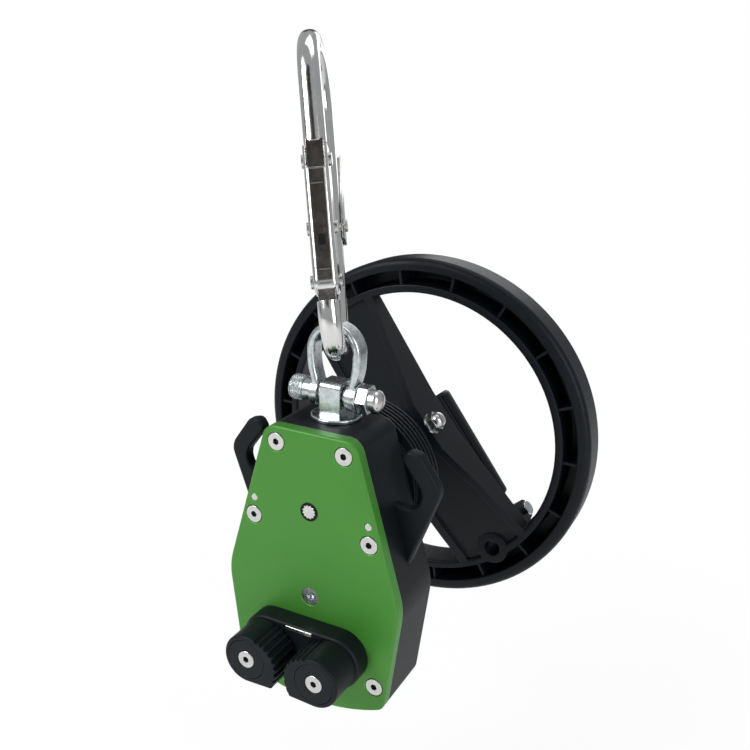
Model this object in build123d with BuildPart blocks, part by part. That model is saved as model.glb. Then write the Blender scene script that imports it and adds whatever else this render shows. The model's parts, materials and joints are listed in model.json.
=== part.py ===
from build123d import *
import os
from math import acos, asin, cos, degrees, pi, radians, sin, sqrt, tan

os.makedirs("parts", exist_ok=True)

# Hand-wheel rope winch, hung from its snap hook.  Millimetres, +Z up.
# The origin is the point inside the top of the snap hook where the anchor bears.
# The winch hangs plumb, its green plate faces -Y and its handwheel is behind, at +Y.

# ---------------------------------------------------------------- clearances
slip = 0.3            # between pieces on different bodies
running = 0.04        # radial play of a shaft in its bush
hole_play = 0.25      # radial play of a screw in its clearance hole

# ---------------------------------------------------------------- snap hook
lean_back = 20.0      # degrees that the hook leans towards the handwheel
lean_side = 17.5      # degrees that the hook leans to -X
hook_turn = 26.3      # degrees that the gate side is turned from -Y towards +X
hook_inside = 135.5   # clear length inside the hook, along its own axis
hook_wide = 10.4      # bar width, square to the hook's plane
hook_deep = 11.6      # bar thickness, in the hook's plane
bar_round = 4.9       # rounding of the bar's section
top_bend = 19.0       # inside radius of the upper bow
low_bend = 11.0       # inside radius of the lower bow
gate_head = 82.0      # height of the gate's upper end
gate_sheet = 1.3      # sheet thickness of the gate
gate_wide = 11.2      # outside width of the gate channel
gate_deep = 14.4      # outside depth of the gate channel
gate_pin_up = 21.5    # height of the gate's hinge pin
stop_pin_up = 45.7    # height of the rivet that backs the gate spring
nose_pin_up = 76.5    # height of the latch rivet
pin_r = 2.0
rivet_head = 1.3      # how far a rivet end stands proud
bar_end = 12.5        # height where the full bar stops below the gate
nose_end = 84.0       # height where the full bar stops above the gate
tongue_wide = 7.8     # tongues that the gate's cheeks straddle
tongue_r = 5.2        # rounded end of the hinge tongue
nose_tip = 72.0       # lower end of the nose tongue
lever_pin_up = 58.0
lever_top = 118.0
lever_foot = 51.0
lever_wide = 13.2
lever_tip = 6.0       # width of its narrow upper end
lever_sheet = 1.1
lever_neck = 16.0     # length of the narrow upper end
lever_spring_up = 22.0  # lever spring above the lever's pin
lever_spring_r = 2.6
lever_spring_wire = 0.4
lever_spring_long = 2.6
spring_wire = 0.5

# ---------------------------------------------------------------- shackle
bolt_r = 4.0          # M8
bow_inside = 31.9     # bolt axis to the inside of the bow's top
bow_strip = 4.0       # strip thickness at the bow
bow_deep = 9.5        # strip depth, front to back
bow_round = 1.9       # rounding of the strip's edges
bow_gap = 2.7         # below the bow, so that its flat strip clears the curved bar
bow_wide = 28.8       # outside width of the bow
hang_aside = 0.5      # bolt to the right of the hook's lowest point
leg_inside = 15.6     # clear width between the eyes
leg_strip = 4.0       # eye thickness
leg_eye = 7.0         # outside radius of an eye
bolt_head_r = 6.5
bolt_head = 7.6
bolt_collar = 5.0     # plain sleeve under the bolt head
bolt_washer = 1.4
bolt_washer_r = 7.4
collar_r = 5.6
inner_collar_r = 5.4
hex_nut = 5.6
hex_flats = 13.0
dome_nut = 6.4
dome_r = 5.4

# ---------------------------------------------------------------- swivel eye
post_wide = 11.0
post_deep = 14.0
post_top = 7.2        # above the bolt axis
eye_flange_r = 12.6
eye_flange = 1.8
stem_r = 6.0
bolt_above_top = 11.5 # bolt axis above the housing's top face
stem_back = 25.6      # stem axis behind the plate's front face
stem_washer = 1.0
stem_nut = 4.8
stem_nut_flats = 14.0
stem_washer_r = 8.4

# ---------------------------------------------------------------- body shell
top_half = 24.4       # half width of the flat top
top_up = 40.0         # top face above the shaft axis
wide_half = 48.4      # half width at the widest corner
wide_down = 41.3
low_half = 41.4       # half width at the lower corners
low_down = 96.5
bottom_down = 106.0
top_round = 8.0
wide_round = 34.0
low_round = 6.0
plate_thick = 6.0
plate_edge = 1.2      # rounding of the plate's front edge
body_depth = 39.5     # plate face to the housing's rear face
wall = 4.0
rear_wall = 5.0
top_block = 9.5       # solid metal under the top face, round the stem
body_edge = 2.5

screw_r = 2.5         # M5
screw_head_r = 4.8
plate_screws = [(-18.3, 32.0), (18.3, 32.0), (-32.1, -9.2), (32.1, -9.2), (-36.2, -85.0), (36.2, -85.0)]
screw_long = 18.0
boss_r = 5.0
dowel_r = 2.0
dowel_x = 31.6
dowel_long = 14.0
bush_outer = 6.5      # front bush, let into the plate's back
bush_seat = 4.0
bush_flange = 2.0

# ---------------------------------------------------------------- rope horns
horn_face = 18.6      # horn's front face behind the plate's face
horn_thick = 6.6
horn_edge = 1.6
horn_seat = 2.4       # how far the horn's root is let into the housing wall
horn_outline = [      # from the root's upper end, round the hook, to its lower end
    (35.0, 4.2),
    (46.5, 3.6),
    (49.8, 13.0),
    (38.2, 28.2),
    (41.5, 33.2),
    (47.5, 31.8),
    (59.2, 15.5),
    (43.6, -26.0),
]
horn_rounds = [6.6, 7.6, 2.2, 3.4, 4.2, 9.0]
horn_screw_r = 1.5
horn_screws_up = [-18.5]
horn_screw_long = 7.5

# ---------------------------------------------------------------- rope drive
shaft_r = 6.0
stub_r = 4.0
shaft_end = body_depth + 72.5
sheave_r = 23.0
sheave_root = 16.5
sheave_face = 12.5
sheave_wide = 15.0
groove_r = 5.8
roller_down = 45.9    # roller axis below the shaft axis
roller_r = 13.0
roller_root = 9.0
axle_r = 4.0
axle_head_r = 4.6
axle_head = 2.6
roller_bush_r = 6.0
key_size = 4.0
key_long = 12.0
bearing_r = 14.0
race_thick = 2.2
ball_r = 1.7
ball_count = 9
rope_x = 20.0         # rope ports either side of the middle
rope_r = 5.5
guide_r = 7.5
guide_down = bottom_down - 4.0    # lower end of the rope guides
guide_long = 12.0

# ---------------------------------------------------------------- brake
drum_depth = 20.5
drum_bore = 31.0
drum_wall = 36.5
fin_r = 41.0
fin_count = 6
fin_thick = 1.3
drum_end = 3.0
fin_pitch = 3.0
fin_edge = 2.0        # front face of the last fin to the drum's rear face
drum_screw_at = 33.8
drum_screw_r = 1.5
drum_screw_head = 2.9
drum_screw_grip = 3.6
end_bush_r = 9.0
gear_module = 1.0
sun_teeth = 18
planet_teeth = 18
ring_teeth = 54
gear_face = body_depth + 3.7
gear_wide = 5.6
planet_pin_r = 2.5
carrier_face = body_depth + 0.7
carrier_r = 24.5
carrier_thick = 2.4
hub_face = body_depth + 9.8       # disc that carries the brake shoes
hub_disc = 0.8
hub_r = 22.0
sleeve_r = 8.6
shoe_arm = 8.0        # width of the arm that guides a shoe
shoe_arm_end = 21.0
shoe_inner = 12.0
shoe_angle = 104.0
shoe_gap = 0.8        # lining to drum, at rest
lining = 2.0
shoe_face = body_depth + 10.9
shoe_wide = 5.4
garter_r = 23.0
garter_wire = 0.6

# ---------------------------------------------------------------- handwheel
wheel_turn = -51.0    # direction of the spokes, degrees from +X towards +Z
rim_face = body_depth + 79.5
rim_back = body_depth + 101.0
rim_r = 102.5
lip_r = rim_r - 7.0          # inside of the outer lip
inner_r = rim_r - 14.8        # outside of the inner wall
mouth_r = rim_r - 19.5        # inside of the inner wall
rim_floor = 3.5
rim_rib_count = 18
rim_rib = 1.4
waist_half = 19.0     # half width of the web at the hub
spoke_half = 25.0     # half width of the web at the rim
web_back = body_depth + 89.0
web_flat = 15.0       # length of the flat middle, each side of the hub
web_reach = rim_r - 17.0      # outer radius of the web, inside the rim's inner wall
web_rise = [          # distance along a spoke, and depth of the web's dished front face
    (15.0, rim_face - 17.0),
    (40.0, rim_face - 9.0),
    (60.0, rim_face - 4.5),
    (rim_r - 24.5, rim_face),
    (rim_r - 12.5, rim_face),
]
web_wall = 3.2
web_strip = 5.0       # width of the raised border
web_sink = 1.8        # depth of the floor below the border
boss_face = body_depth + 22.5
boss_back = body_depth + 80.5
hub_boss_r = 15.0
insert_r = 9.0
cross_back = body_depth + 66.5    # cross bolt axis
cross_r = 3.0
cross_head = 4.0
cross_flats = 10.0
cross_washer = 1.0
cap_nut = 8.0
eyelet_at = rim_r - 21.5      # drilled boss near the rim
eyelet_r = 4.8
eyelet_boss = 9.4
eyelet_deep = 14.0

# ---------------------------------------------------------------- crank grip
hinge_at = rim_r - 26.5       # hinge axis from the shaft axis
hinge_back = body_depth + 111.5
lug_gap = 24.0
lug_thick = 4.0
lug_r = 6.0
hinge_r = 3.0
hinge_head_r = 4.4
arm_r = 4.0
grip_start = 14.0     # from the hinge axis
grip_long = 73.0
grip_thin = 11.0
grip_fat = 14.0
grip_end_r = 2.5
flute_count = 6
flute_r = 2.4
rod_collar = 2.0
end_recess_r = 8.0
end_recess = 5.0
end_screw_r = 2.5
end_screw_head_r = 4.4
end_washer_r = 7.0

# ---------------------------------------------------------------- cam cleat
cleat_down = 71.3
cleat_half = 19.0     # cam axis from the middle
cleat_foot = 10.0     # base thickness
cleat_high = 27.6     # cam bush face in front of the plate
base_end_r = 13.8
base_edge = 1.6
cam_bore = 10.4
bush_r = 10.0
bush_disc = 3.0
bush_neck_r = 6.0
strip_thick = 1.2     # wear strip, half of it let into the base
strip_half = 7.5
strip_wide = 2.2
strip_up = 11.8       # its middle above the cam axes
cam_gap = 0.4         # cam above its base
cam_profile = [       # direction and radius of the jaw side of the left cam
    (70.0, 12.5),
    (40.0, 14.5),
    (10.0, 16.5),
    (-20.0, 17.5),
    (-40.0, 18.5),
]
cam_back_r = 12.5
tooth_count = 9
tooth_deep = 1.3
cam_coil_r = 8.2

# ================================================================ frames
hook_axis = Vector(-tan(radians(lean_side)), tan(radians(lean_back)), 1).normalized()
gate_way = Vector(sin(radians(hook_turn)), -cos(radians(hook_turn)), 0)
gate_way = (gate_way - hook_axis * gate_way.dot(hook_axis)).normalized()
hook_side = gate_way.cross(hook_axis)
hook_low = hook_axis * -hook_inside
hook = Plane(origin=hook_low, x_dir=gate_way, z_dir=hook_side)

# The shackle hangs at the lowest point inside the lower bow.
plumb = Vector(0, 0, 1) - hook_side * hook_side.Z
plumb = plumb.normalized()
low_centre = hook_low + hook_axis * low_bend
bearing_point = low_centre - plumb * low_bend
swing_way = plumb.cross(hook_side)

bolt_x = bearing_point.X + hang_aside
bolt_y = bearing_point.Y
bolt_z = bearing_point.Z + bow_gap - bow_inside

shaft_x = bolt_x
face_y = bolt_y - stem_back
shaft_z = bolt_z - bolt_above_top - top_up
shaft_axis = Axis((shaft_x, face_y, shaft_z), (0, 1, 0))


# ================================================================ helpers
def front(depth, turn=0.0):
    """Plane parallel to the green plate, this far behind its front face, x turned towards +Z."""
    x_dir = (cos(radians(turn)), 0, sin(radians(turn)))
    return Plane(origin=(shaft_x, face_y + depth, shaft_z), x_dir=x_dir, z_dir=(0, -1, 0))


def turned(plane, angle):
    """The same plane turned about its own normal, in degrees."""
    x_dir = plane.x_dir * cos(radians(angle)) + plane.y_dir * sin(radians(angle))
    return Plane(origin=plane.origin, x_dir=x_dir, z_dir=plane.z_dir)


def moved(plane, x, y, z=0.0):
    """The same plane moved along its own axes."""
    return Plane(origin=plane.from_local_coords((x, y, z)), x_dir=plane.x_dir, z_dir=plane.z_dir)


def level(height, across=0.0, depth=stem_back):
    """Level plane, its height counted from the shaft axis."""
    return Plane((shaft_x + across, face_y + depth, shaft_z + height))


def save(piece, name):
    piece.part.label = name
    export_step(piece.part, f"parts/{name}.step")


def save_group(pieces, name):
    """Several separate solids in one node."""
    group = Compound(label=name, children=[solid for piece in pieces for solid in piece.part.solids()])
    export_step(group, f"parts/{name}.step")


def tube(plane, outer, inner, thick):
    """Washer, bush or ring that stands on the plane."""
    with BuildPart() as piece:
        with BuildSketch(plane):
            Circle(outer)
            Circle(inner, mode=Mode.SUBTRACT)
        extrude(amount=thick)
    return piece


def countersunk(plane, places, long, shank, head):
    """Countersunk screws with a hexagon socket, their heads flush with the plane."""
    with BuildPart(plane) as screws:
        with Locations(*places):
            Cylinder(shank, long, align=(Align.CENTER, Align.CENTER, Align.MAX))
            Cone(shank, head, head - shank, align=(Align.CENTER, Align.CENTER, Align.MAX))
        with BuildSketch(plane):
            with Locations(*places):
                RegularPolygon(shank * 0.7, 6)
        extrude(amount=-shank, mode=Mode.SUBTRACT)
    return screws


def plate_outline(plane, inset=0.0):
    """Flat top, flared sides and an arched foot, for the plate and the housing."""
    with BuildSketch(plane) as outline:
        with BuildLine():
            Polyline(
                (-low_half, -low_down),
                (-wide_half, -wide_down),
                (-top_half, top_up),
                (top_half, top_up),
                (wide_half, -wide_down),
                (low_half, -low_down),
            )
            ThreePointArc((low_half, -low_down), (0, -bottom_down), (-low_half, -low_down))
        make_face()
        fillet(outline.vertices().group_by(Axis.Y)[-1], top_round)
        fillet(outline.vertices().filter_by_position(Axis.Y, -wide_down - 1, 1 - wide_down), wide_round)
        fillet(outline.vertices().group_by(Axis.Y)[0], low_round)
        if inset:
            offset(amount=-inset)
    return outline.sketch


def horn_sketch(side, depth):
    """Hooked horn beside the housing; its root is let into the housing's side."""
    with BuildSketch(front(depth)) as sketch:
        with BuildLine():
            FilletPolyline(*[(side * x, z) for x, z in horn_outline], radius=horn_rounds)
            Polyline(
                (side * horn_outline[-1][0], horn_outline[-1][1]),
                (side * (horn_outline[-1][0] - horn_seat), horn_outline[-1][1]),
                (side * (horn_outline[0][0] - horn_seat), horn_outline[0][1]),
                (side * horn_outline[0][0], horn_outline[0][1]),
            )
        make_face()
    return sketch.sketch


# ================================================================ front plate
dowels = [(-dowel_x, 0), (dowel_x, 0)]
cams_at = [(-cleat_half, -cleat_down), (cleat_half, -cleat_down)]

with BuildPart(front(0)) as front_plate:
    extrude(plate_outline(front(plate_thick)), amount=plate_thick)
    fillet(front_plate.faces().sort_by(Axis.Y)[0].edges(), plate_edge)
    with Locations(*plate_screws):
        CounterSinkHole(screw_r + hole_play, screw_head_r + hole_play)
    with Locations(*dowels):
        Hole(dowel_r)
    Hole(stub_r + slip)
    with Locations((0, -roller_down)):
        CounterBoreHole(axle_r, axle_head_r + hole_play, axle_head)
    with Locations(*cams_at):
        Hole(screw_r)
    with BuildSketch(front(plate_thick)):
        Circle(bush_outer)
    extrude(amount=bush_seat, mode=Mode.SUBTRACT)
save(front_plate, "front_plate")

save(countersunk(front(0), plate_screws, screw_long, screw_r, screw_head_r), "plate_screws")

with BuildPart(front(0.2)) as dowel_pins:
    with Locations(*dowels):
        Cylinder(dowel_r, dowel_long, align=(Align.CENTER, Align.CENTER, Align.MAX))
    chamfer(dowel_pins.faces().group_by(Axis.Y)[0].edges(), 0.3)
save(dowel_pins, "dowel_pins")

with BuildPart() as front_bush:
    with BuildSketch(front(plate_thick)):
        Circle(bush_outer)
    extrude(amount=bush_seat)
    with BuildSketch(front(plate_thick + bush_flange)):
        Circle(bush_outer + 3)
    extrude(amount=bush_flange)
    with BuildSketch(front(plate_thick + bush_flange)):
        Circle(stub_r + running)
    extrude(amount=bush_seat + bush_flange, mode=Mode.SUBTRACT)

# ================================================================ housing
flare = (wide_half - top_half) / (top_up + wide_down)
cavity_back = body_depth - rear_wall
rope_depth = sheave_face + sheave_wide / 2
horn_back = horn_face + horn_thick
guide_block = guide_r + 2


def side_x(height):
    """Outside of the housing's flared side at this height above the shaft axis."""
    return top_half + (top_up - height) * flare


def inside_x(height):
    return side_x(height) - wall * sqrt(1 + flare ** 2)


def horn_screw_plane(side, height):
    """Plane on the inner side wall where a horn screw's head sits."""
    depth = horn_face + horn_thick / 2
    origin = (shaft_x + side * inside_x(height), face_y + depth, shaft_z + height)
    return Plane(origin=origin, x_dir=(0, 1, 0), z_dir=(side, 0, flare))


with BuildPart() as housing:
    extrude(plate_outline(front(body_depth)), amount=body_depth - plate_thick)
    fillet(housing.faces().sort_by(Axis.Y)[-1].edges(), body_edge)
    with BuildSketch(front(cavity_back)):
        add(plate_outline(Plane.XY, wall))
        with Locations((0, top_up)):
            Rectangle(4 * top_half, 2 * top_block, mode=Mode.SUBTRACT)
    extrude(amount=cavity_back - plate_thick, mode=Mode.SUBTRACT)
    # bosses for the lower screws and the dowels, and blocks round the rope guides
    with BuildSketch(front(cavity_back)):
        with Locations(*plate_screws[2:]):
            Circle(boss_r)
        with Locations(*dowels):
            Circle(dowel_r + 2)
    extrude(amount=cavity_back - plate_thick)
    for side in (-1, 1):
        with BuildSketch(level(guide_long - guide_down - 0.5, side * rope_x, rope_depth)):
            Circle(guide_block)
        extrude(amount=-(guide_long - 2))
    # bores
    with BuildSketch(front(plate_thick)):
        with Locations(*plate_screws):
            Circle(screw_r)
    extrude(amount=-(screw_long - plate_thick), mode=Mode.SUBTRACT)
    with BuildSketch(front(plate_thick)):
        with Locations(*dowels):
            Circle(dowel_r)
    extrude(amount=-(dowel_long - plate_thick + 0.2), mode=Mode.SUBTRACT)
    with BuildSketch(front(body_depth)):
        Circle(bearing_r)
        with PolarLocations(drum_screw_at, 4, start_angle=45):
            Circle(drum_screw_r)
    extrude(amount=rear_wall, mode=Mode.SUBTRACT)
    with BuildSketch(front(body_depth - 1)):
        with Locations((0, -roller_down)):
            Circle(axle_r)
    extrude(amount=rear_wall, mode=Mode.SUBTRACT)
    with BuildSketch(level(top_up)):
        Circle(stem_r + running)
    extrude(amount=-top_block, mode=Mode.SUBTRACT)
    for side in (-1, 1):
        with BuildSketch(level(-bottom_down, side * rope_x, rope_depth)):
            Circle(guide_r)
        extrude(amount=bottom_down - guide_down + guide_long, mode=Mode.SUBTRACT)
        extrude(horn_sketch(side, horn_back), amount=horn_thick, mode=Mode.SUBTRACT)
        for height in horn_screws_up:
            with BuildSketch(horn_screw_plane(side, height)):
                Circle(horn_screw_r)
            extrude(amount=wall + 1, mode=Mode.SUBTRACT)
save(housing, "housing")

for side, name in ((-1, "horn_left"), (1, "horn_right")):
    with BuildPart() as horn:
        extrude(horn_sketch(side, horn_back), amount=horn_thick)
        outer = horn.edges().filter_by(Axis.Y, reverse=True)
        rim = [edge for edge in outer if side * (edge.center().X - shaft_x) > side_x(edge.center().Z - shaft_z) + 1]
        fillet(rim, horn_edge)
        for height in horn_screws_up:
            with BuildSketch(horn_screw_plane(side, height)):
                Circle(horn_screw_r)
            extrude(amount=horn_screw_long, mode=Mode.SUBTRACT)
    save(horn, name)

with BuildPart() as horn_screws:
    for side in (-1, 1):
        for height in horn_screws_up:
            seat = horn_screw_plane(side, height)
            with BuildSketch(seat):
                Circle(horn_screw_r)
            extrude(amount=horn_screw_long)
            with BuildSketch(seat):
                Circle(2 * horn_screw_r)
            extrude(amount=-horn_screw_r)
save(horn_screws, "horn_screws")

with BuildPart() as rope_guides:
    for side in (-1, 1):
        with BuildSketch(level(-guide_down, side * rope_x, rope_depth)):
            Circle(guide_r)
            Circle(rope_r, mode=Mode.SUBTRACT)
        extrude(amount=guide_long)
    bores = rope_guides.edges().filter_by(GeomType.CIRCLE).group_by(SortBy.RADIUS)[0]
    fillet(bores, 1.2)
save(rope_guides, "rope_guides")

# ================================================================ shaft and rope drive
wheel_plane = Plane(
    origin=(shaft_x, face_y, shaft_z),
    x_dir=(cos(radians(wheel_turn)), 0, sin(radians(wheel_turn))),
    z_dir=(-sin(radians(wheel_turn)), 0, cos(radians(wheel_turn))),
)                     # local x runs along the spokes, local y backwards from the plate
cross_way = wheel_plane.z_dir


def beside(distance):
    """Plane square to the cross bolt, this far along it: x along a spoke, y backwards."""
    return wheel_plane.offset(distance)


with BuildPart() as drive_shaft:
    with BuildSketch(front(plate_thick + bush_flange + slip)):
        Circle(stub_r)
    extrude(amount=plate_thick + bush_flange + slip + 0.2)
    with BuildSketch(front(shaft_end)):
        Circle(shaft_r)
    extrude(amount=shaft_end - plate_thick - bush_flange - slip)
    chamfer(drive_shaft.faces().sort_by(Axis.Y)[-1].edges(), 0.8)
    with BuildSketch(front(-0.2)):
        RegularPolygon(stub_r * 0.42, 6)
    extrude(amount=-stub_r, mode=Mode.SUBTRACT)
    with BuildSketch(front(rope_depth + key_long / 2)):
        with Locations((0, shaft_r)):
            Rectangle(key_size, key_size)
    extrude(amount=key_long, mode=Mode.SUBTRACT)
    with BuildSketch(beside(-shaft_r - 1)):
        with Locations((0, cross_back)):
            Circle(cross_r)
    extrude(amount=2 * shaft_r + 2, mode=Mode.SUBTRACT)
save(drive_shaft, "drive_shaft")

with BuildPart() as shaft_key:
    with BuildSketch(front(rope_depth + key_long / 2)):
        with Locations((0, shaft_r)):
            Rectangle(key_size, key_size)
    extrude(amount=key_long)
save(shaft_key, "shaft_key")

with BuildPart() as rope_sheave:
    with BuildSketch(wheel_plane):
        with Locations(((sheave_r + shaft_r) / 2, rope_depth)):
            Rectangle(sheave_r - shaft_r, sheave_wide)
        with Locations((sheave_root + groove_r, rope_depth)):
            Circle(groove_r, mode=Mode.SUBTRACT)
    revolve(axis=shaft_axis)
    with BuildSketch(front(rope_depth + sheave_wide / 2)):
        with Locations((0, shaft_r)):
            Rectangle(key_size, key_size)
    extrude(amount=sheave_wide, mode=Mode.SUBTRACT)
save(rope_sheave, "rope_sheave")

with BuildPart() as rear_bearing:
    with BuildSketch(front(body_depth)):
        Circle(bearing_r)
        Circle(bearing_r - race_thick, mode=Mode.SUBTRACT)
        Circle(shaft_r + running + race_thick)
        Circle(shaft_r + running, mode=Mode.SUBTRACT)
    extrude(amount=rear_wall)
    balls_at = (bearing_r + shaft_r + running) / 2
    with Locations(front(body_depth - rear_wall / 2)):
        with PolarLocations(balls_at, ball_count):
            Sphere(ball_r)
save(rear_bearing, "rear_bearing")

with BuildPart() as roller_axle:
    with BuildSketch(front(body_depth - 1)):
        with Locations((0, -roller_down)):
            Circle(axle_r)
    extrude(amount=body_depth - 1 - axle_head / 2)
    with BuildSketch(front(axle_head)):
        with Locations((0, -roller_down)):
            Circle(axle_head_r)
    extrude(amount=axle_head - 0.6)
    with BuildSketch(front(0.6)):
        with Locations((0, -roller_down)):
            RegularPolygon(axle_r * 0.55, 6)
    extrude(amount=-axle_head, mode=Mode.SUBTRACT)
save(roller_axle, "roller_axle")

roller_axis = Axis((shaft_x, face_y, shaft_z - roller_down), (0, 1, 0))
with BuildPart() as guide_roller:
    with BuildSketch(Plane(origin=roller_axis.position, x_dir=(1, 0, 0), z_dir=(0, 0, 1))):
        with Locations(((roller_r + roller_bush_r) / 2, rope_depth)):
            Rectangle(roller_r - roller_bush_r, sheave_wide)
        with Locations((roller_root + groove_r, rope_depth)):
            Circle(groove_r, mode=Mode.SUBTRACT)
    revolve(axis=roller_axis)
save(guide_roller, "guide_roller")

with BuildPart() as roller_bush:
    with BuildSketch(front(rope_depth + sheave_wide / 2)):
        with Locations((0, -roller_down)):
            Circle(roller_bush_r)
            Circle(axle_r + running, mode=Mode.SUBTRACT)
    extrude(amount=sheave_wide)
save(roller_bush, "roller_bush")

# ================================================================ brake drum and its gears
drum_back = body_depth + drum_depth
sun_r = sun_teeth * gear_module / 2
planet_r = planet_teeth * gear_module / 2
ring_r = ring_teeth * gear_module / 2
planets_r = sun_r + planet_r
addendum = 0.9 * gear_module
dedendum = 1.15 * gear_module
tooth_half = 0.2 * pi * gear_module
gear_back = gear_face + gear_wide


def gear_teeth(teeth, pitch_r, inward=1):
    """Straight-flanked teeth round the sketch's origin, the first one at angle 0."""
    tip = pitch_r + inward * addendum
    root = pitch_r - inward * (dedendum + 0.4 * gear_module)
    tip_half = tooth_half - 0.36 * addendum
    root_half = tooth_half + 0.36 * dedendum
    for index in range(teeth):
        with Locations(Location((0, 0, 0), (0, 0, 360 * index / teeth))):
            Polygon((root, -root_half), (tip, -tip_half), (tip, tip_half), (root, root_half), align=None)


def spur_gear(plane, teeth, pitch_r, bore):
    with BuildPart() as gear:
        with BuildSketch(plane):
            Circle(pitch_r - dedendum)
            gear_teeth(teeth, pitch_r)
            Circle(bore, mode=Mode.SUBTRACT)
        extrude(amount=gear_wide)
    return gear


drum_face = Plane(origin=(shaft_x, face_y + drum_back, shaft_z), x_dir=(1, 0, 0), z_dir=(0, 1, 0))
screw_side = drum_screw_at * cos(radians(45))
drum_screws_at = [(x, y) for x in (-screw_side, screw_side) for y in (-screw_side, screw_side)]

with BuildPart() as finned_drum:
    with BuildSketch(front(drum_back)):
        Circle(drum_wall)
    extrude(amount=drum_depth)
    for index in range(fin_count):
        with BuildSketch(front(drum_back - fin_edge - index * fin_pitch + fin_thick / 2)):
            Circle(fin_r)
        extrude(amount=fin_thick)
    with BuildSketch(front(drum_back - drum_end)):
        Circle(drum_bore)
    extrude(amount=drum_depth - drum_end, mode=Mode.SUBTRACT)
    with BuildSketch(front(drum_back)):
        Circle(end_bush_r)
    extrude(amount=drum_end, mode=Mode.SUBTRACT)
    with Locations(drum_face):
        with Locations(*drum_screws_at):
            CounterSinkHole(drum_screw_r, drum_screw_head + 0.1)
save(finned_drum, "finned_drum")

drum_screws = countersunk(
    drum_face, drum_screws_at, drum_depth + drum_screw_grip, drum_screw_r, drum_screw_head
)
save(drum_screws, "drum_screws")

end_bush = tube(front(drum_back), end_bush_r, shaft_r + running, drum_end)
save_group([front_bush, end_bush], "shaft_bushes")

with BuildPart() as ring_gear:
    with BuildSketch(front(gear_back, 90)):
        Circle(drum_bore)
        Circle(ring_r + dedendum, mode=Mode.SUBTRACT)
        gear_teeth(ring_teeth, ring_r, inward=-1)
    extrude(amount=gear_wide)
save(ring_gear, "ring_gear")

planet_angles = [90, 210, 330]
with BuildPart() as planet_carrier:
    with BuildSketch(front(carrier_face + carrier_thick)):
        Circle(carrier_r)
        Circle(shaft_r, mode=Mode.SUBTRACT)
        with PolarLocations(planets_r, 3, start_angle=30):
            Circle(4.5, mode=Mode.SUBTRACT)
    extrude(amount=carrier_thick)

with BuildPart() as planet_pins:
    with BuildSketch(front(gear_back)):
        with PolarLocations(planets_r, 3, start_angle=90):
            Circle(planet_pin_r)
    extrude(amount=gear_back - carrier_face - carrier_thick)
save_group([planet_carrier, planet_pins], "planet_carrier")

half_tooth = 180 / planet_teeth
for number, angle in enumerate(planet_angles, start=1):
    centre = moved(front(gear_back, angle), planets_r, 0)
    gear = spur_gear(turned(centre, half_tooth), planet_teeth, planet_r, planet_pin_r + running)
    save(gear, f"planet_gear_{number}")

with BuildPart() as sun_gear:
    add(spur_gear(front(gear_back, 90), sun_teeth, sun_r, shaft_r + running).part)
    with BuildSketch(front(shoe_face + shoe_wide)):
        Circle(sleeve_r)
        for angle in planet_angles:
            with Locations(Location((0, 0, 0), (0, 0, angle))):
                Polygon(
                    (0, -shoe_arm / 2), (shoe_arm_end, -shoe_arm / 2),
                    (shoe_arm_end, shoe_arm / 2), (0, shoe_arm / 2), align=None,
                )
        Circle(shaft_r + running, mode=Mode.SUBTRACT)
    extrude(amount=shoe_face + shoe_wide - hub_face)
    with BuildSketch(front(hub_face + hub_disc)):
        Circle(hub_r)
        Circle(shaft_r + running, mode=Mode.SUBTRACT)
    extrude(amount=hub_disc)
    with BuildSketch(front(hub_face)):
        Circle(sun_r - dedendum)
        Circle(shaft_r + running, mode=Mode.SUBTRACT)
    extrude(amount=hub_face - gear_back)
save(sun_gear, "sun_gear")

lining_r = drum_bore - shoe_gap
for number, angle in enumerate(planet_angles, start=1):
    shoe_half = radians(shoe_angle / 2)
    with BuildSketch(front(shoe_face + shoe_wide)) as shoe_sector:
        with Locations(Location((0, 0, 0), (0, 0, angle))):
            Polygon(
                (0, 0),
                (2 * drum_bore * cos(shoe_half), -2 * drum_bore * sin(shoe_half)),
                (2 * drum_bore * cos(shoe_half), 2 * drum_bore * sin(shoe_half)),
                align=None,
            )
    with BuildPart() as shoe:
        with BuildSketch(front(shoe_face + shoe_wide)):
            Circle(lining_r - lining)
            Circle(shoe_inner, mode=Mode.SUBTRACT)
            add(shoe_sector.sketch_local, mode=Mode.INTERSECT)
            with Locations(Location((0, 0, 0), (0, 0, angle))):
                Polygon(
                    (0, -shoe_arm / 2 - slip), (shoe_arm_end + slip, -shoe_arm / 2 - slip),
                    (shoe_arm_end + slip, shoe_arm / 2 + slip), (0, shoe_arm / 2 + slip),
                    align=None, mode=Mode.SUBTRACT,
                )
        extrude(amount=shoe_wide)
        with BuildSketch(front(shoe_face + shoe_wide)):
            Circle(garter_r + garter_wire + slip)
            Circle(garter_r - garter_wire - shoe_gap, mode=Mode.SUBTRACT)
        extrude(amount=2 * garter_wire, mode=Mode.SUBTRACT)
    with BuildPart() as shoe_lining:
        with BuildSketch(front(shoe_face + shoe_wide)):
            Circle(lining_r)
            Circle(lining_r - lining, mode=Mode.SUBTRACT)
            add(shoe_sector.sketch_local, mode=Mode.INTERSECT)
        extrude(amount=shoe_wide)
    save_group([shoe, shoe_lining], f"brake_shoe_{number}")

save(
    tube(front(shoe_face + shoe_wide + 0.2), garter_r + garter_wire, garter_r - garter_wire, garter_wire),
    "garter_spring",
)

# ================================================================ handwheel
web_end = web_rise[-1][0]


def spokes(depth):
    """Plane parallel to the plate whose x runs along the spokes."""
    return front(depth, wheel_turn)


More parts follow.
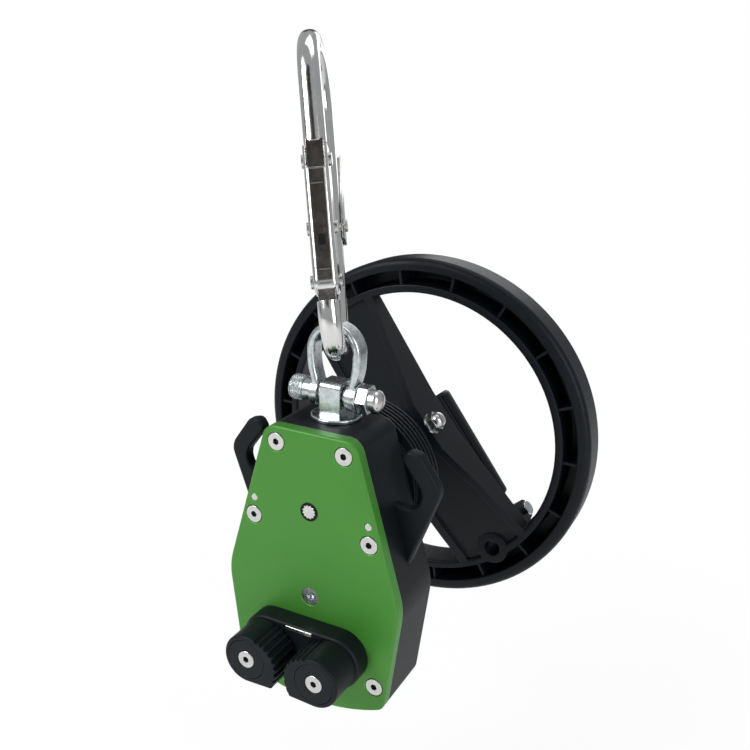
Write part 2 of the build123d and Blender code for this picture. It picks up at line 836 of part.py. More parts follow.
def web_block(inset, drop, back):
    """Bow-tie block: its plan shrunk by inset, its dished front face moved back by drop."""
    with BuildPart() as block:
        with BuildSketch(spokes(back)):
            half = [(web_end, spoke_half - inset), (web_flat, waist_half - inset)]
            quarter = half + [(-x, y) for x, y in reversed(half)]
            Polygon(*quarter, *[(x, -y) for x, y in reversed(quarter)], align=None)
            Circle(web_reach, mode=Mode.INTERSECT)
        extrude(amount=back - web_rise[0][1])
        with BuildSketch(beside(-spoke_half)):
            rise = [(along, depth + drop) for along, depth in web_rise]
            rise_left = [(-along, depth) for along, depth in reversed(rise)]
            Polygon(*rise_left, *rise, (web_end, back), (-web_end, back), align=None)
        extrude(amount=2 * spoke_half, mode=Mode.INTERSECT)
    return block.part


with BuildPart() as handwheel:
    add(web_block(0, 0, web_back))
    add(web_block(web_strip, 0, web_back), mode=Mode.SUBTRACT)
    add(web_block(web_strip, web_sink, web_back))
    add(web_block(web_wall, web_sink + web_wall, rim_back), mode=Mode.SUBTRACT)
    # rim: a channel that is open towards the housing, with thin ribs across it
    floor_face = rim_back - rim_floor
    with BuildSketch(wheel_plane):
        with BuildLine():
            FilletPolyline(
                (mouth_r, rim_back),
                (rim_r, rim_back),
                (rim_r, rim_face),
                (lip_r, rim_face),
                (lip_r, floor_face),
                (inner_r, floor_face),
                (inner_r, rim_face),
                (mouth_r, rim_face),
                radius=[3.0, 4.0, 4.0, 0.8, 1.5, 1.5, 1.0, 1.5],
                close=True,
            )
        make_face()
    revolve(axis=shaft_axis)
    with BuildSketch(spokes(floor_face + 0.5)):
        with PolarLocations((inner_r + lip_r) / 2, rim_rib_count, start_angle=10):
            Rectangle(lip_r - inner_r + 1, rim_rib)
    extrude(amount=floor_face - rim_face - 1.5)
    # hub boss, drilled boss at the rim and the two lugs of the crank
    with BuildSketch(spokes(boss_back)):
        Circle(hub_boss_r)
    extrude(amount=boss_back - boss_face)
    with BuildSketch(spokes(rim_back)):
        with Locations((eyelet_at, 0)):
            Circle(eyelet_boss)
    extrude(amount=rim_back - rim_face)
    for start in (-lug_gap / 2 - lug_thick, lug_gap / 2):
        with BuildSketch(beside(start)):
            Polygon(
                (hinge_at - 10, rim_face + 3),
                (web_reach, rim_face + 3),
                (web_reach, floor_face),
                (hinge_at + lug_r, hinge_back),
                (hinge_at - lug_r, hinge_back),
                align=None,
            )
            with Locations((hinge_at, hinge_back)):
                Circle(lug_r)
                Circle(hinge_r, mode=Mode.SUBTRACT)
        extrude(amount=lug_thick)
    # bores
    with BuildSketch(spokes(boss_back)):
        Circle(insert_r)
    extrude(amount=boss_back - boss_face, mode=Mode.SUBTRACT)
    with BuildSketch(spokes(rim_back)):
        with Locations((eyelet_at, 0)):
            Circle(eyelet_r)
    extrude(amount=rim_back - rim_face, mode=Mode.SUBTRACT)
    with BuildSketch(beside(-waist_half)):
        with Locations((0, cross_back)):
            Circle(cross_r + hole_play)
    extrude(amount=2 * waist_half, mode=Mode.SUBTRACT)
save(handwheel, "handwheel")

with BuildPart() as hub_insert:
    with BuildSketch(spokes(boss_back)):
        Circle(insert_r)
        Circle(shaft_r, mode=Mode.SUBTRACT)
    extrude(amount=boss_back - boss_face)
    with BuildSketch(beside(-insert_r)):
        with Locations((0, cross_back)):
            Circle(cross_r + hole_play)
    extrude(amount=2 * insert_r, mode=Mode.SUBTRACT)
save(hub_insert, "hub_insert")

cross_seat = waist_half + cross_washer
with BuildPart() as cross_bolt:
    with BuildSketch(beside(-cross_seat - cross_head)):
        with Locations((0, cross_back)):
            RegularPolygon(cross_flats / 2, 6, major_radius=False)
    extrude(amount=cross_head)
    with BuildSketch(beside(-cross_seat)):
        with Locations((0, cross_back)):
            Circle(cross_r)
    extrude(amount=2 * cross_seat + cap_nut / 2)
save(cross_bolt, "cross_bolt")

with BuildPart() as cross_washers:
    for start in (-cross_seat, waist_half):
        with BuildSketch(beside(start)):
            with Locations((0, cross_back)):
                Circle(cross_flats * 0.6)
                Circle(cross_r, mode=Mode.SUBTRACT)
        extrude(amount=cross_washer)
save(cross_washers, "cross_washers")

with BuildPart() as cap:
    with BuildSketch(beside(cross_seat)):
        with Locations((0, cross_back)):
            RegularPolygon(cross_flats / 2, 6, major_radius=False)
    extrude(amount=cap_nut / 2)
    with BuildSketch(beside(cross_seat)):
        with Locations((0, cross_back)):
            Circle(cross_flats * 0.46)
    extrude(amount=cap_nut)
    fillet(cap.edges().filter_by(GeomType.CIRCLE).sort_by(Axis(shaft_axis.position, cross_way))[-1], 3.6)
    with BuildSketch(beside(cross_seat)):
        with Locations((0, cross_back)):
            Circle(cross_r)
    extrude(amount=cap_nut / 2, mode=Mode.SUBTRACT)
save(cap, "cap_nut")

# ================================================================ crank
lug_out = lug_gap / 2 + lug_thick
hinge_head = 2.5
rod_end = hinge_at - grip_start - grip_long + end_recess - slip


def along_grip(distance):
    """Plane square to the folded grip's axis, this far along the spoke from the shaft."""
    origin = wheel_plane.from_local_coords((distance, hinge_back, 0))
    return Plane(origin=origin, x_dir=cross_way, z_dir=-wheel_plane.x_dir)


with BuildPart() as crank_pin:
    with BuildSketch(beside(-lug_out)):
        with Locations((hinge_at, hinge_back)):
            Circle(hinge_r)
    extrude(amount=2 * lug_out)
    for start in (-lug_out - hinge_head, lug_out):
        with BuildSketch(beside(start)):
            with Locations((hinge_at, hinge_back)):
                Circle(hinge_head_r)
        extrude(amount=hinge_head)
    ends = crank_pin.faces().sort_by(Axis(shaft_axis.position, cross_way))
    fillet(ends[0].edges() + ends[-1].edges(), 0.8)
save(crank_pin, "crank_pin")

with BuildPart() as crank_arm:
    with BuildSketch(beside(slip - lug_gap / 2)):
        with Locations((hinge_at, hinge_back)):
            Circle(lug_r)
    extrude(amount=lug_gap - 2 * slip)
    with BuildSketch(along_grip(hinge_at)):
        Circle(arm_r)
    extrude(amount=hinge_at - rod_end)
    with BuildSketch(along_grip(hinge_at - grip_start + slip + rod_collar)):
        Circle(lug_r)
    extrude(amount=rod_collar)
    with BuildSketch(along_grip(rod_end)):
        Circle(end_screw_r)
    extrude(amount=-4 * end_screw_r, mode=Mode.SUBTRACT)
    with BuildSketch(beside(-lug_gap / 2)):
        with Locations((hinge_at, hinge_back)):
            Circle(hinge_r + running)
    extrude(amount=lug_gap, mode=Mode.SUBTRACT)
save(crank_arm, "crank_arm")

grip_near = along_grip(hinge_at - grip_start)
grip_far = along_grip(hinge_at - grip_start - grip_long)
with BuildPart() as crank_grip:
    with BuildSketch(grip_near):
        Circle(grip_thin)
    with BuildSketch(grip_far):
        Circle(grip_fat)
    loft()
    fillet(crank_grip.edges().filter_by(GeomType.CIRCLE), grip_end_r)
    for index in range(flute_count):
        around = radians(360 * index / flute_count + 30)
        for plane, radius in ((grip_near, grip_thin), (grip_far, grip_fat)):
            with BuildSketch(plane):
                out = radius + flute_r * 0.55
                with Locations((out * cos(around), out * sin(around))):
                    Circle(flute_r)
        loft(mode=Mode.SUBTRACT)
    with BuildSketch(grip_near):
        Circle(arm_r + running)
    extrude(amount=grip_long, mode=Mode.SUBTRACT)
    with BuildSketch(grip_far):
        Circle(end_recess_r)
    extrude(amount=-end_recess, mode=Mode.SUBTRACT)
save(crank_grip, "crank_grip")

with BuildPart() as grip_end_screw:
    with BuildSketch(along_grip(rod_end)):
        Circle(end_washer_r)
    extrude(amount=1.0)
    with BuildSketch(along_grip(rod_end - 1.0)):
        Circle(end_screw_head_r)
    extrude(amount=end_screw_r)
    with BuildSketch(along_grip(rod_end)):
        Circle(end_screw_r)
    extrude(amount=-4 * end_screw_r)
    with BuildSketch(along_grip(rod_end - 1.0 - end_screw_r)):
        RegularPolygon(end_screw_r * 0.8, 6)
    extrude(amount=-end_screw_r, mode=Mode.SUBTRACT)
save(grip_end_screw, "grip_end_screw")

# ================================================================ cam cleat
strip_at = (0, strip_up - cleat_down)

with BuildPart() as cleat_base:
    with BuildSketch(front(0)):
        with Locations((0, -cleat_down)):
            SlotCenterToCenter(2 * cleat_half, 2 * base_end_r)
    extrude(amount=cleat_foot)
    fillet(cleat_base.faces().sort_by(Axis.Y)[0].edges(), base_edge)
    with BuildSketch(front(-cleat_foot)):
        with Locations(strip_at):
            Rectangle(2 * strip_half, strip_wide)
    extrude(amount=-strip_thick / 2, mode=Mode.SUBTRACT)
    with BuildSketch(front(0)):
        with Locations(*cams_at):
            Circle(screw_r + hole_play)
    extrude(amount=cleat_foot, mode=Mode.SUBTRACT)
save(cleat_base, "cleat_base")

with BuildPart() as wear_strip:
    with BuildSketch(front(strip_thick / 2 - cleat_foot)):
        with Locations(strip_at):
            Rectangle(2 * strip_half, strip_wide)
    extrude(amount=strip_thick)
    fillet(wear_strip.faces().sort_by(Axis.Y)[0].edges(), 0.4)
save(wear_strip, "wear_strip")


def jaw_r(angle):
    """Radius of the jaw at this direction, between the points of its profile."""
    for (start, start_r), (end, end_r) in zip(cam_profile, cam_profile[1:]):
        if start >= angle >= end:
            return start_r + (end_r - start_r) * (start - angle) / (start - end)
    return cam_back_r


def polar(radius, angle, side):
    """Point about a cam's axis; angle 0 points at the other cam, 90 up."""
    return (side * radius * cos(radians(angle)), radius * sin(radians(angle)))


first, last = cam_profile[0][0], cam_profile[-1][0]
for side, name in ((1, "cam_left"), (-1, "cam_right")):
    cam_plane = front(-cleat_foot - cam_gap)
    cam_plane.origin = cam_plane.from_local_coords((-side * cleat_half, -cleat_down, 0))
    with BuildPart() as cam:
        with BuildSketch(cam_plane) as outline:
            with BuildLine():
                jaw = [polar(radius, angle, side) for angle, radius in cam_profile]
                tail = last - degrees(acos(cam_back_r / cam_profile[-1][1]))
                behind = (first + tail) / 2 - 180
                along = polar(1, first - 90, side)
                Spline(*jaw, tangents=(along, Vector(*jaw[-1]) - Vector(*jaw[-2])))
                Line(jaw[-1], polar(cam_back_r, tail, side))
                ThreePointArc(polar(cam_back_r, tail, side), polar(cam_back_r, behind, side), jaw[0])
            make_face()
            fillet(outline.vertices().filter_by_position(Axis.Y, jaw[-1][1] - 0.1, jaw[-1][1] + 0.1), 1.5)
        extrude(amount=cleat_high - cleat_foot - cam_gap)
        fillet(cam.faces().sort_by(Axis.Y)[0].edges(), 1.2)
        with BuildSketch(cam_plane):
            for index in range(tooth_count):
                angle = first - 6 + (last - first + 10) * index / (tooth_count - 1)
                with Locations(polar(jaw_r(angle) + 0.1, angle, side)):
                    Circle(tooth_deep)
        extrude(amount=cleat_high, mode=Mode.SUBTRACT)
        with BuildSketch(cam_plane):
            Circle(bush_neck_r + running)
        extrude(amount=cleat_high, mode=Mode.SUBTRACT)
        with BuildSketch(front(-cleat_high)):
            with Locations((-side * cleat_half, -cleat_down)):
                Circle(cam_bore)
        extrude(amount=-bush_disc - slip, mode=Mode.SUBTRACT)
        with BuildSketch(cam_plane):
            Circle(cam_coil_r + 1.2)
        extrude(amount=3.0, mode=Mode.SUBTRACT)
    save(cam, name)

with BuildPart() as cam_bushes:
    with BuildSketch(front(-cleat_foot)):
        with Locations(*cams_at):
            Circle(bush_neck_r)
    extrude(amount=cleat_high - cleat_foot)
    with BuildSketch(front(bush_disc - cleat_high)):
        with Locations(*cams_at):
            Circle(bush_r)
    extrude(amount=bush_disc)
    with Locations(front(-cleat_high)):
        with Locations(*cams_at):
            CounterSinkHole(screw_r + hole_play, screw_head_r + hole_play)
save(cam_bushes, "cam_bushes")

cam_screws = countersunk(front(-cleat_high), cams_at, cleat_high + plate_thick - 0.5, screw_r, screw_head_r)
save(cam_screws, "cam_screws")

with BuildPart() as cam_springs:
    with BuildSketch(front(-cleat_foot)):
        with Locations(*cams_at):
            Circle(cam_coil_r + 0.6)
            Circle(cam_coil_r - 0.6, mode=Mode.SUBTRACT)
    extrude(amount=2.6)
save(cam_springs, "cam_springs")

# ================================================================ shackle
bolt_place = Vector(bolt_x, bolt_y, bolt_z)
bow_mid = (bow_wide - bow_strip) / 2
bow_centre = bow_inside + bow_strip / 2 - bow_mid
leg_mid = (leg_inside + bow_strip) / 2
leg_out = leg_inside / 2 + leg_strip


def along_bolt(distance):
    """Plane square to the shackle bolt, this far to the right of the middle: x back, y up."""
    return Plane(origin=(bolt_x + distance, bolt_y, bolt_z), x_dir=(0, 1, 0), z_dir=(1, 0, 0))


def bolt_part(start, thick, outer, inner=0.0, mode=Mode.ADD):
    """Round piece on the bolt's axis, between start and start + thick."""
    with BuildSketch(along_bolt(start)) as disc:
        Circle(outer)
        if inner:
            Circle(inner, mode=Mode.SUBTRACT)
    extrude(disc.sketch, amount=thick, mode=mode)


bow_plane = Plane(origin=bolt_place, x_dir=(1, 0, 0), z_dir=(0, -1, 0))
leg_top = 9.0

with BuildPart() as shackle_bow:
    with BuildLine(bow_plane) as bow:
        Line((-leg_mid, 0), (-leg_mid, 2))
        Bezier((-leg_mid, 2), (-leg_mid, leg_top), (-bow_mid, leg_top), (-bow_mid, bow_centre))
        ThreePointArc((-bow_mid, bow_centre), (0, bow_centre + bow_mid), (bow_mid, bow_centre))
        Bezier((bow_mid, bow_centre), (bow_mid, leg_top), (leg_mid, leg_top), (leg_mid, 2))
        Line((leg_mid, 2), (leg_mid, 0))
    with BuildSketch(Plane(origin=bow.line @ 0, x_dir=(0, 1, 0), z_dir=bow.line % 0)):
        RectangleRounded(bow_deep, bow_strip, bow_round)
    sweep()
    for start in (-leg_out, leg_inside / 2):
        bolt_part(start, leg_strip, leg_eye)
    for start in (-leg_out - bow_strip, leg_out):
        bolt_part(start, bow_strip, leg_eye + 1, mode=Mode.SUBTRACT)
    bolt_part(-bow_wide, 2 * bow_wide, bolt_r, mode=Mode.SUBTRACT)
save(shackle_bow, "shackle_bow")

nut_start = leg_out + bolt_washer
dome_start = nut_start + hex_nut
head_start = -leg_out - bolt_collar - bolt_head

with BuildPart() as shackle_bolt:
    bolt_part(head_start, bolt_head, bolt_head_r)
    chamfer(shackle_bolt.edges().sort_by(Axis.X)[0], 0.8)
    bolt_part(head_start + bolt_head, dome_start + dome_nut / 2 - head_start - bolt_head, bolt_r)
    with BuildSketch(along_bolt(head_start)):
        RegularPolygon(bolt_r * 0.8, 6)
    extrude(amount=bolt_r, mode=Mode.SUBTRACT)
save(shackle_bolt, "shackle_bolt")

with BuildPart() as shackle_collars:
    bolt_part(-leg_out - bolt_collar, bolt_collar, collar_r, bolt_r)
    inner_collar = leg_inside / 2 - post_wide / 2 - slip
    bolt_part(-leg_inside / 2, inner_collar, inner_collar_r, bolt_r)
    bolt_part(leg_inside / 2 - inner_collar, inner_collar, inner_collar_r, bolt_r)
    bolt_part(leg_out, bolt_washer, bolt_washer_r, bolt_r)
save(shackle_collars, "shackle_collars")

with BuildPart() as lock_nut:
    with BuildSketch(along_bolt(nut_start)):
        RegularPolygon(hex_flats / 2, 6, major_radius=False)
        Circle(bolt_r, mode=Mode.SUBTRACT)
    extrude(amount=hex_nut)
save(lock_nut, "lock_nut")

with BuildPart() as dome:
    bolt_part(dome_start, dome_nut, dome_r)
    fillet(dome.edges().sort_by(Axis.X)[-1], dome_r * 0.8)
    with BuildSketch(along_bolt(dome_start)):
        Circle(bolt_r)
    extrude(amount=dome_nut / 2, mode=Mode.SUBTRACT)
save(dome, "dome_nut")

# ================================================================ swivel eye
flange_low = top_up + slip
washer_low = top_up - top_block - slip - stem_washer
nut_low = washer_low - stem_nut

with BuildPart() as swivel_eye:
    with BuildSketch(level(flange_low)):
        Circle(eye_flange_r)
    extrude(amount=eye_flange)
    fillet(swivel_eye.edges().sort_by(Axis.Z)[-1], 0.8)
    with BuildSketch(along_bolt(-post_wide / 2)) as post:
        with Locations((0, post_top)):
            Rectangle(post_deep, bolt_above_top + post_top - slip, align=(Align.CENTER, Align.MAX))
        fillet(post.vertices().group_by(Axis.Y)[-1], 3.0)
    extrude(amount=post_wide)
    with BuildSketch(level(flange_low)):
        Circle(stem_r)
    extrude(amount=-(flange_low - nut_low))
    with BuildSketch(along_bolt(-post_wide)):
        Circle(bolt_r + running)
    extrude(amount=2 * post_wide, mode=Mode.SUBTRACT)
save(swivel_eye, "swivel_eye")

save(tube(level(washer_low), stem_washer_r, stem_r, stem_washer), "thrust_washer")

with BuildPart() as swivel_nut:
    with BuildSketch(level(nut_low)):
        RegularPolygon(stem_nut_flats / 2, 6, major_radius=False)
        Circle(stem_r, mode=Mode.SUBTRACT)
    extrude(amount=stem_nut)
save(swivel_nut, "swivel_nut")

# ================================================================ snap hook
low_mid = low_bend + hook_deep / 2
top_mid = top_bend + hook_deep / 2
top_centre = hook_inside - top_bend
splay = asin((top_mid - low_mid) / (top_centre - low_bend))
foot = (low_mid * cos(splay), low_bend - low_mid * sin(splay))
head = (top_mid * cos(splay), top_centre - top_mid * sin(splay))


def bar_at(height):
    """Distance of either bar's centre line from the middle, at this height."""
    return foot[0] + (height - foot[1]) * tan(splay)


def beside_gate(height, distance=0.0):
    """Plane in the hook's plane with y along the gate's bar and x outwards, set sideways."""
    return turned(moved(hook, bar_at(height), height, distance), -degrees(splay))


def beside_spine(height, distance=0.0):
    """The same on the spine: y runs up along it, x points into the hook."""
    return turned(moved(hook, -bar_at(height), height, distance), degrees(splay))


def rivet(plane, radius, half, cap):
    """Rivet across the hook's plane, with a low head on both ends."""
    for start, thick, outer in ((-half - cap, cap, 1.5), (-half, 2 * half, 1.0), (half, cap, 1.5)):
        with BuildSketch(plane.offset(start)) as disc:
            Circle(outer * radius)
        extrude(disc.sketch, amount=thick)


gate_hinge = beside_gate(gate_pin_up)
gate_half = gate_wide / 2
channel_half = gate_half - gate_sheet

with BuildPart() as hook_body:
    with BuildLine(hook) as bar:
        Line((bar_at(bar_end), bar_end), foot)
        ThreePointArc(foot, (0, low_bend - low_mid), (-foot[0], foot[1]))
        Line((-foot[0], foot[1]), (-head[0], head[1]))
        ThreePointArc((-head[0], head[1]), (0, top_centre + top_mid), head)
        Line(head, (bar_at(nose_end), nose_end))
    with BuildSketch(Plane(origin=bar.line @ 0, x_dir=hook_side, z_dir=bar.line % 0)):
        RectangleRounded(hook_wide, hook_deep, bar_round)
    sweep()
    # tongue in the gate's foot, rounded about the hinge pin
    with BuildSketch(gate_hinge.offset(-tongue_wide / 2)):
        Circle(tongue_r)
        with Locations((0, bar_end - gate_pin_up - 1)):
            Rectangle(2 * tongue_r - 1, gate_pin_up - bar_end + 1, align=(Align.CENTER, Align.MIN))
        Circle(pin_r, mode=Mode.SUBTRACT)
    extrude(amount=tongue_wide)
    # tongue below the nose, with a notch for the gate's latch rivet that opens inwards
    with BuildSketch(beside_gate(nose_pin_up, -tongue_wide / 2)):
        nose = nose_end - nose_pin_up + 1
        with Locations((0, nose)):
            Rectangle(hook_deep - 1, nose_end - nose_tip + 1, align=(Align.CENTER, Align.MAX))
        Circle(pin_r + slip, mode=Mode.SUBTRACT)
        with Locations((-hook_deep / 2, -0.15)):
            Rectangle(hook_deep, 2 * (pin_r + slip) + 0.3, mode=Mode.SUBTRACT)
    extrude(amount=tongue_wide)
    with BuildSketch(beside_spine(lever_pin_up, -hook_wide)):
        Circle(pin_r)
    extrude(amount=2 * hook_wide, mode=Mode.SUBTRACT)
save(hook_body, "hook_body")

with BuildPart() as gate:
    front_out = gate_deep / 2
    with BuildSketch(gate_hinge.offset(-gate_half)):
        Circle(front_out)
        with Locations((0, 0)):
            Rectangle(gate_deep, gate_head - gate_pin_up, align=(Align.CENTER, Align.MIN))
    extrude(amount=gate_wide)
    round_off = gate.edges().filter_by(Axis(gate_hinge.origin, gate_hinge.y_dir))
    outward = Axis(gate_hinge.origin, gate_hinge.x_dir)
    fillet(round_off.group_by(outward)[-1], 2.6)
    with BuildSketch(gate_hinge.offset(-channel_half)):
        with Locations((front_out - gate_sheet, -gate_deep)):
            Rectangle(2 * gate_deep, 3 * gate_head, align=(Align.MAX, Align.CENTER))
    extrude(amount=2 * channel_half, mode=Mode.SUBTRACT)
    # the front is cut back above the nose tongue's tip
    with BuildSketch(gate_hinge.offset(-channel_half)):
        with Locations((0, nose_tip - 0.8 - gate_pin_up)):
            Rectangle(2 * gate_deep, gate_head, align=(Align.CENTER, Align.MIN))
    extrude(amount=2 * channel_half, mode=Mode.SUBTRACT)
    with BuildSketch(gate_hinge.offset(-gate_half)):
        Circle(pin_r + running)
        with Locations((0, stop_pin_up - gate_pin_up), (0, nose_pin_up - gate_pin_up)):
            Circle(pin_r)
    extrude(amount=gate_wide, mode=Mode.SUBTRACT)
save(gate, "gate")

with BuildPart() as gate_pin:
    rivet(gate_hinge, pin_r, gate_half + slip, rivet_head)
save(gate_pin, "gate_pin")

with BuildPart() as gate_rivets:
    for height in (stop_pin_up, nose_pin_up):
        rivet(moved(gate_hinge, 0, height - gate_pin_up), pin_r, gate_half, rivet_head)
save(gate_rivets, "gate_rivets")


def coil(foot_plane, radius, wire, long, turns):
    """Compression spring that stands on the plane."""
    with BuildPart() as spring:
        with BuildLine() as turns_path:
            Helix(long / turns, long, radius, center=foot_plane.origin, direction=foot_plane.z_dir)
        with BuildSketch(Plane(origin=turns_path.line @ 0, z_dir=turns_path.line % 0)):
            Circle(wire)
        sweep()
    return spring


spring_low = gate_pin_up + tongue_r + spring_wire + slip
spring_top = stop_pin_up - pin_r - spring_wire - slip
gate_spring_foot = Plane(
    origin=gate_hinge.from_local_coords((0, spring_low - gate_pin_up, 0)),
    x_dir=gate_hinge.x_dir,
    z_dir=gate_hinge.y_dir,
)
save(coil(gate_spring_foot, 3.0, spring_wire, spring_top - spring_low, 6), "gate_spring")

# lock lever on the spine: a folded sheet that straddles the bar, narrow at its upper end
lever_hinge = beside_spine(lever_pin_up)
lever_half = lever_wide / 2
tip_foot = lever_top - lever_pin_up - lever_neck
lever_back = [         # outside of the fold: from the spine's centre line, and along it
    (-8.6, lever_foot - lever_pin_up),
    (-9.4, 12.0),
    (-13.4, 30.0),
    (-15.8, tip_foot),
]
lever_front = [        # free edges of the cheeks, from the tip down
    (-15.2, lever_top - lever_pin_up),
    (-12.6, lever_top - lever_pin_up),
    (-12.6, tip_foot),
    (-9.0, 32.0),
    (-3.0, 22.0),
    (2.0, 10.0),
    (2.0, lever_foot - lever_pin_up),
]

with BuildPart() as lock_lever:
    with BuildSketch(lever_hinge.offset(-lever_half)):
        Polygon(*lever_back, *lever_front, align=None)
    extrude(amount=lever_wide)
    with BuildSketch(lever_hinge.offset(lever_sheet - lever_half)):
        skin = [(out + lever_sheet, along) for out, along in lever_back]
        Polygon((10, skin[0][1]), *skin, (10, tip_foot), align=None)
    extrude(amount=lever_wide - 2 * lever_sheet, mode=Mode.SUBTRACT)
    for start in (-lever_half, lever_tip / 2):
        with BuildSketch(lever_hinge.offset(start)):
            with Locations((0, tip_foot)):
                Rectangle(2 * lever_top, lever_neck + 1, align=(Align.CENTER, Align.MIN))
        extrude(amount=lever_half - lever_tip / 2, mode=Mode.SUBTRACT)
    with BuildSketch(lever_hinge.offset(-lever_half)):
        Circle(pin_r + running)
    extrude(amount=lever_wide, mode=Mode.SUBTRACT)
save(lock_lever, "lock_lever")

with BuildPart() as lever_pin:
    rivet(lever_hinge, pin_r, lever_half + slip, rivet_head)
save(lever_pin, "lever_pin")

lever_spring_foot = Plane(
    origin=lever_hinge.from_local_coords((-hook_deep / 2 - 1.5 * lever_spring_wire, lever_spring_up, 0)),
    x_dir=hook_side,
    z_dir=-lever_hinge.x_dir,
)
save(coil(lever_spring_foot, lever_spring_r, lever_spring_wire, lever_spring_long, 3), "lever_spring")
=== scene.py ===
import json
import math

import bmesh
import bpy
from bpy.props import FloatProperty, FloatVectorProperty, IntProperty, PointerProperty
from mathutils import Matrix, Vector
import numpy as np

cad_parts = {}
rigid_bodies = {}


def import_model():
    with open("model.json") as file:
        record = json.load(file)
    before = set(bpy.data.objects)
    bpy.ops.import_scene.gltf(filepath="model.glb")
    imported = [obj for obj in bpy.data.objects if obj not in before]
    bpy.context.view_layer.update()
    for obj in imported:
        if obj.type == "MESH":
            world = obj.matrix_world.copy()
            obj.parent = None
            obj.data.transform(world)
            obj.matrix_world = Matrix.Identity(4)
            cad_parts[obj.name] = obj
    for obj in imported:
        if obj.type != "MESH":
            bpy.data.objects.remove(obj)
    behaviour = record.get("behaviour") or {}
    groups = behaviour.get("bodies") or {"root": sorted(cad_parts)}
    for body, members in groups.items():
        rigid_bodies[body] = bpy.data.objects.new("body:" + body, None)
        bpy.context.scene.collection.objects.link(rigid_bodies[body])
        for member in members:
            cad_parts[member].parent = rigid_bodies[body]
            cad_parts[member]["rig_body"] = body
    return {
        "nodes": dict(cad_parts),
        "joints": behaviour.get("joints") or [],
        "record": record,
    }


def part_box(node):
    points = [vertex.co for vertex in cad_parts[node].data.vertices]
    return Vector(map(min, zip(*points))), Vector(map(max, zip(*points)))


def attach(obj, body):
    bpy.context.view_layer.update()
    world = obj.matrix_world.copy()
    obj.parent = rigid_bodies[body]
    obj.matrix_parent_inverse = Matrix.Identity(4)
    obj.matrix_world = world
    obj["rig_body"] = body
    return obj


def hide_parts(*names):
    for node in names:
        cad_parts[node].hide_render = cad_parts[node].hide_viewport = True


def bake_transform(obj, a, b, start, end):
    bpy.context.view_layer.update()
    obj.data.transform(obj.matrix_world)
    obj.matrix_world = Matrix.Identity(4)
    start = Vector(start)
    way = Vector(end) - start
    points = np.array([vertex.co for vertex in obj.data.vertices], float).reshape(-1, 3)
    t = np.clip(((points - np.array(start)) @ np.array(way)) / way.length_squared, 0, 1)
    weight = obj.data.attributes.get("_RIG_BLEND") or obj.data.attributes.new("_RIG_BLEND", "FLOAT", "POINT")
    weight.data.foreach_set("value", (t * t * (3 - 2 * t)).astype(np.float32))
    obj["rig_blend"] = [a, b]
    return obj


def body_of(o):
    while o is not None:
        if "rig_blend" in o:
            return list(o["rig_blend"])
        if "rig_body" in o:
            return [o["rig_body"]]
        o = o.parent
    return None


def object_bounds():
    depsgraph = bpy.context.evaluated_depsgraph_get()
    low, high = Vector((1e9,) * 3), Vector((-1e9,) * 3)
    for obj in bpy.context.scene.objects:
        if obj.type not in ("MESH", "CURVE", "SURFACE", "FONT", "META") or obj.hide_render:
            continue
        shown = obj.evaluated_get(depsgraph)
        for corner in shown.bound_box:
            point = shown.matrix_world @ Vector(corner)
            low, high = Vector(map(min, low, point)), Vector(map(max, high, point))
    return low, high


bl_info = {
    "name": "Hand wheel rope winch",
    "version": (1, 0, 0),
    "blender": (4, 5, 0),
    "location": "View3D > Sidebar > Winch",
    "description": "Dresses the packed rope winch with finished pieces and a plain studio",
    "category": "Add Mesh",
}

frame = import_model()
cad_low, cad_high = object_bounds()
MM = 0.001
JOINTS = {joint["name"]: joint for joint in frame["joints"]}
SLOTS = {part["node"]: part["material_slot"] for part in frame["record"]["subparts"]}
FRONT = Vector((0, -1, 0))
RIGHT = Vector((1, 0, 0))
UP = Vector((0, 0, 1))

# The middle of the front plate's face, on the drive shaft's axis.
HEART = Vector(JOINTS["drive_spin"]["pos_m"])
HEART.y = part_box("front_plate")[0].y


def at(right, back, up):
    """A point given in millimetres from the middle of the front plate's face."""
    return HEART + Vector((right, back, up)) * MM


# The snap hook's own frame: x towards the gate, y up along the hook, z across it.
LEAN_BACK, LEAN_ASIDE, GATE_TURN = (math.radians(angle) for angle in (20.0, 17.5, 26.3))
HOOK_LONG = 135.5 * MM
HOOK_AXIS = Vector((-math.tan(LEAN_ASIDE), math.tan(LEAN_BACK), 1)).normalized()
GATE_WAY = Vector((math.sin(GATE_TURN), -math.cos(GATE_TURN), 0))
GATE_WAY = (GATE_WAY - HOOK_AXIS * GATE_WAY.dot(HOOK_AXIS)).normalized()
HOOK_TURN = Matrix((GATE_WAY, HOOK_AXIS, GATE_WAY.cross(HOOK_AXIS))).transposed().to_4x4()
HOOK = Matrix.Translation(HOOK_AXIS * -HOOK_LONG) @ HOOK_TURN

# Radii of the bar's middle line in the lower and the upper bow, and the heights of their centres,
# in millimetres. Both straight sides splay outwards from the lower bow to the upper one.
LOW_MID, TOP_MID, LOW_CENTRE, TOP_CENTRE = 16.8, 24.8, 11.0, 116.5
SPLAY = math.asin((TOP_MID - LOW_MID) / (TOP_CENTRE - LOW_CENTRE))
GATE_SIDE, SPINE_SIDE = 1, -1


def on_bar(height, side=GATE_SIDE):
    """The frame of the hook's bar at a height in millimetres: x across the bar, y along it."""
    foot_x, foot_y = LOW_MID * math.cos(SPLAY), LOW_CENTRE - LOW_MID * math.sin(SPLAY)
    out = side * (foot_x + (height - foot_y) * math.tan(SPLAY))
    place = Matrix.Translation(Vector((out, height, 0)) * MM)
    return HOOK @ place @ Matrix.Rotation(-side * SPLAY, 4, "Z")


# ---------------------------------------------------------------- colours and nodes


